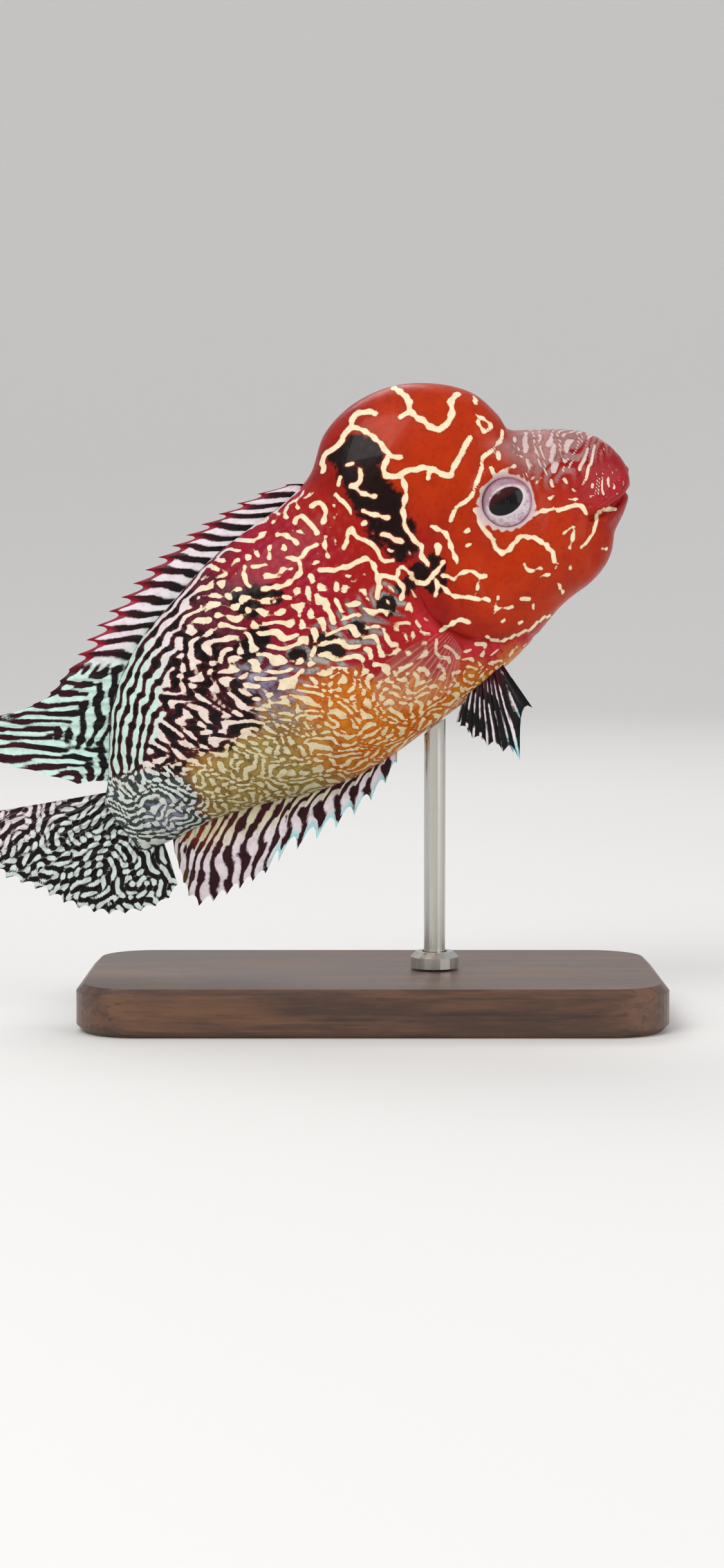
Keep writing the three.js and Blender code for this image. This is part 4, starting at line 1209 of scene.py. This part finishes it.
class FLOWERHORN_OT_eyes(Operator):
    """Build the two eyes as flattened balls with a silver iris and a long dark pupil"""

    bl_idname = "flowerhorn.eyes"
    bl_label = "Eyes"

    def execute(self, context):
        look = context.scene.flowerhorn_eye
        material = eye_material(look)
        rings, around = 72, 96
        polar = np.linspace(0, math.pi, rings + 2)[1:-1, None]
        turn = np.linspace(0, 2 * math.pi, around, endpoint=False)
        wide, raised = np.sin(polar), np.broadcast_to(np.cos(polar), (rings, around))
        shell = np.stack([wide * np.cos(turn), raised, wide * np.sin(turn)], -1)
        ball = np.concatenate([shell.reshape(-1, 3), [(0, 1, 0), (0, -1, 0)]])
        triangles = capped_grid(rings, around)
        a, b = ball[:, 0] * EYE["radius"], ball[:, 2] * EYE["radius"]
        pupil = 1 - np.hypot(a / look.pupil_length, (b - look.pupil_lift) / look.pupil_height)
        fields = {"pupil": np.where(ball[:, 1] > 0, pupil, -3.0), "rim": np.hypot(ball[:, 0], ball[:, 2]),
                  "height": b / look.pupil_height}
        middle = flank_width(EYE["x"], EYE["z"]) - EYE["sunk"]
        for side, word in ((1, "left"), (-1, "right")):
            points = in_row(EYE["x"] + a, side * (middle + EYE["deep"] * ball[:, 1]), EYE["z"] + b)
            eye = make_piece("eyeball_" + word, points, triangles, fields, material)
            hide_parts("eye_" + word)
        return {"FINISHED"}


def build_fin(kind, name, node, place, context):
    """One fin from its rays, set in the fish's frame by place, which maps flat x, y, z to it."""
    scene = context.scene
    size, look = scene.flowerhorn_fins, scene.flowerhorn_colours
    rays_of_kind, _, sway = FINS[kind]
    points, triangles, web = fin_surface(rays_of_kind(), size.per_gap, size.steps, sway, size.ray_thickness)
    clear = kind == "pectoral"
    finish = "clear_fin_skin" if clear else "striped_fin_skin"
    material = bpy.data.materials.get(finish) or pattern_material(finish, edge=0.3, clear=clear)
    fin = make_piece(name, in_row(*place(*points.T)), triangles, fin_fields(kind, web, look), material)
    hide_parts(node)


class FLOWERHORN_OT_median_fins(Operator):
    """Build the dorsal, anal and tail fins"""

    bl_idname = "flowerhorn.median_fins"
    bl_label = "Dorsal, anal and tail fins"

    def execute(self, context):
        for kind in ("dorsal", "anal", "caudal"):
            build_fin(kind, kind + "_rays", kind + "_fin", lambda x, y, z: (x, y, z), context)
        return {"FINISHED"}


class FLOWERHORN_OT_paired_fins(Operator):
    """Build the pelvic and pectoral fins on both sides"""

    bl_idname = "flowerhorn.paired_fins"
    bl_label = "Pelvic and pectoral fins"

    def execute(self, context):
        apart, splay, hinge = 2.6, math.radians(22), -9.0
        root_x, root_z, away = -34.6, -2.6, math.radians(11)
        root_y = flank_width(root_x, root_z)
        for side, word in ((1, "left"), (-1, "right")):

            def pelvic_place(x, y, z, side=side):
                """Turned outwards about the fin's hinge line by the splay."""
                c, s = math.cos(side * splay), math.sin(side * splay)
                return x, side * apart + y * c - (z - hinge) * s, hinge + y * s + (z - hinge) * c

            def pectoral_place(x, y, z, side=side):
                """Turned away from the flank about the upright root."""
                c, s = math.cos(-side * away), math.sin(-side * away)
                return root_x + x * c - y * s, side * root_y + x * s + y * c, root_z + z

            build_fin("pelvic", "pelvic_rays_" + word, "pelvic_fin_" + word, pelvic_place, context)
            build_fin("pectoral", "pectoral_rays_" + word, "pectoral_fin_" + word, pectoral_place, context)
        return {"FINISHED"}


def dress(node, material):
    """Puts a finish on a CAD node that stays as it is."""
    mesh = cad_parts[node].data
    mesh.materials.clear()
    mesh.materials.append(material)


def walnut_material(look):
    """Satin walnut: two browns by a grain that runs lengthwise, with fine dark pores sunk into it."""
    n = Nodes("satin_walnut")
    grain = n.noise(60, 6, 0.65, stretch=(0.6, 6, 6))
    pores = n.noise(500, stretch=(0.12, 3, 3))
    wood = n.mix(n.step(grain, 0.35, 0.66), look.walnut, look.walnut_light)
    wood = n.mix(n.step(pores, 0.56, 0.7, 0.0, 0.6), wood, colour("#1a0e08"))
    sheen = n.step(grain, 0.3, 0.7, 0.38, 0.5)
    n.shader_value(Base_Color=wood, Roughness=sheen, Coat_Weight=0.25, Coat_Roughness=0.25)
    n.bumps((pores, 0.00008))
    return n.material


def steel_material(look):
    """Steel with fine brushed lines that run upright."""
    n = Nodes("brushed_steel")
    lines = n.noise(900, stretch=(1, 1, 0.05))
    sheen = n.step(lines, 0.3, 0.7, 0.22, 0.38)
    n.shader_value(Base_Color=(*look.steel, 1.0), Metallic=1.0, Roughness=sheen)
    n.bumps((lines, 0.00002))
    return n.material


class FLOWERHORN_OT_stand(Operator):
    """Finish the stand's wooden base and its steel rod and collar"""

    bl_idname = "flowerhorn.stand"
    bl_label = "Stand"

    def execute(self, context):
        look = context.scene.flowerhorn_stand
        dress("stand_base", walnut_material(look))
        steel = steel_material(look)
        for node in ("stand_rod", "stand_collar"):
            dress(node, steel)
        return {"FINISHED"}


class FLOWERHORN_OT_studio(Operator):
    """Set the floor, the soft lights, the sky and the camera"""

    bl_idname = "flowerhorn.studio"
    bl_label = "Studio"

    def execute(self, context):
        scene = context.scene
        look = scene.flowerhorn_studio
        self.floor(look)
        self.lights(scene, look)
        self.camera(scene, look)
        return {"FINISHED"}

    def floor(self, look):
        """A round floor that turns up at its rim: flat to 1 m, then a quarter circle of 0.7 m."""
        flat, curl, around = 1.0, 0.7, 96
        bend = np.linspace(0, math.pi / 2, 24)
        radius = np.concatenate([[0.3, 0.7], flat + curl * np.sin(bend), [flat + curl]])[:, None]
        height = np.concatenate([[0, 0], curl * (1 - np.cos(bend)), [curl + 0.1]])[:, None]
        turn = np.linspace(0, 2 * math.pi, around, endpoint=False)
        rings = np.stack(np.broadcast_arrays(radius * np.cos(turn), radius * np.sin(turn), height), -1)
        points = np.concatenate([rings.reshape(-1, 3), [(0, 0, 0)]])
        triangles = np.concatenate([
            grid_triangles(len(radius), around, True)[:, ::-1],
            fan(len(points) - 1, np.arange(around)),
        ])
        n = Nodes("pale_floor")
        sheen = n.step(n.noise(6, 3, 0.5), 0.3, 0.7, 0.6, 0.75)
        n.shader_value(Base_Color=(*look.floor, 1.0), Roughness=sheen)
        mesh = bpy.data.meshes.new("studio_floor")
        mesh.from_pydata(points.tolist(), [], triangles.tolist())
        mesh.shade_smooth()
        mesh.materials.append(n.material)
        floor = bpy.data.objects.new("studio_floor", mesh)
        bpy.context.scene.collection.objects.link(floor)

    def lights(self, scene, look):
        """Area lights at the camera's left, at its right and behind the fish, and an even pale sky."""
        aimed_at = np.array([0.0, 0.0, 0.06])
        for name, power, size, place in (
            ("key_light", look.key_power, 0.55, (-0.45, -0.6, 0.75)),
            ("fill_light", look.fill_power, 0.6, (0.7, -0.5, 0.35)),
            ("rim_light", look.rim_power, 0.5, (-0.2, 0.6, 0.8)),
        ):
            lamp = bpy.data.lights.new(name, "AREA")
            lamp.energy = power
            lamp.size = size
            light = bpy.data.objects.new(name, lamp)
            scene.collection.objects.link(light)
            light.location = place
            x, y, z = aimed_at - np.array(place)
            light.rotation_euler = (math.atan2(math.hypot(x, y), -z), 0, math.atan2(y, x) - math.pi / 2)
        world = bpy.data.worlds.new("soft_sky")
        world.use_nodes = True
        world.node_tree.nodes["Background"].inputs["Color"].default_value = (0.93, 0.95, 1.0, 1.0)
        world.node_tree.nodes["Background"].inputs["Strength"].default_value = look.sky
        scene.world = world
        scene.view_settings.view_transform = "Standard"

    def camera(self, scene, look):
        """A camera on the fish's right that looks down a little, and whose frame is the photograph's."""
        middle = (np.array(PHOTO_SIZE) / 2 - MOUTH_PIXEL) / PIXELS_PER_MM
        target = np.array([MOUTH_AHEAD + middle[0], 0, MOUTH_HEIGHT - middle[1]]) / MM_PER_METRE
        tall = PHOTO_SIZE[1] / PIXELS_PER_MM / MM_PER_METRE
        view = bpy.data.cameras.new("photo_view")
        view.lens = view.sensor_width * look.distance / tall
        view.clip_start, view.clip_end = 0.01, 20
        camera = bpy.data.objects.new("photo_view", view)
        scene.collection.objects.link(camera)
        e = look.elevation
        camera.location = target + look.distance * np.array([0, -math.cos(e), math.sin(e)])
        camera.rotation_euler = (math.pi / 2 - e, 0, 0)
        scene.camera = camera


class FLOWERHORN_PT_panel(Panel):
    """Lists the steps that build the model"""

    bl_idname = "FLOWERHORN_PT_panel"
    bl_label = "Flowerhorn"
    bl_space_type = "VIEW_3D"
    bl_region_type = "UI"
    bl_category = "Flowerhorn"

    def draw(self, context):
        layout = self.layout
        for operator in OPERATORS:
            layout.operator(operator.bl_idname)
        for name in SETTINGS:
            group = getattr(context.scene, name)
            box = layout.box()
            box.label(text=group.bl_rna.name)
            for field in group.__annotations__:
                box.prop(group, field)


SETTINGS = {
    "flowerhorn_colours": FlowerhornColours,
    "flowerhorn_skin": FlowerhornSkin,
    "flowerhorn_eye": FlowerhornEye,
    "flowerhorn_fins": FlowerhornFins,
    "flowerhorn_stand": FlowerhornStand,
    "flowerhorn_studio": FlowerhornStudio,
}
OPERATORS = (
    FLOWERHORN_OT_skin,
    FLOWERHORN_OT_eyes,
    FLOWERHORN_OT_median_fins,
    FLOWERHORN_OT_paired_fins,
    FLOWERHORN_OT_stand,
    FLOWERHORN_OT_studio,
)


def register():
    for group in (*SETTINGS.values(), *OPERATORS, FLOWERHORN_PT_panel):
        bpy.utils.register_class(group)
    for name, group in SETTINGS.items():
        setattr(bpy.types.Scene, name, PointerProperty(type=group))


def unregister():
    for name in SETTINGS:
        delattr(bpy.types.Scene, name)
    for group in reversed((*SETTINGS.values(), *OPERATORS, FLOWERHORN_PT_panel)):
        bpy.utils.unregister_class(group)


def main():
    """Builds everything in order."""
    register()
    bpy.ops.flowerhorn.skin()
    bpy.ops.flowerhorn.eyes()
    bpy.ops.flowerhorn.median_fins()
    bpy.ops.flowerhorn.paired_fins()
    bpy.ops.flowerhorn.stand()
    bpy.ops.flowerhorn.studio()


if __name__ == "__main__":
    main()
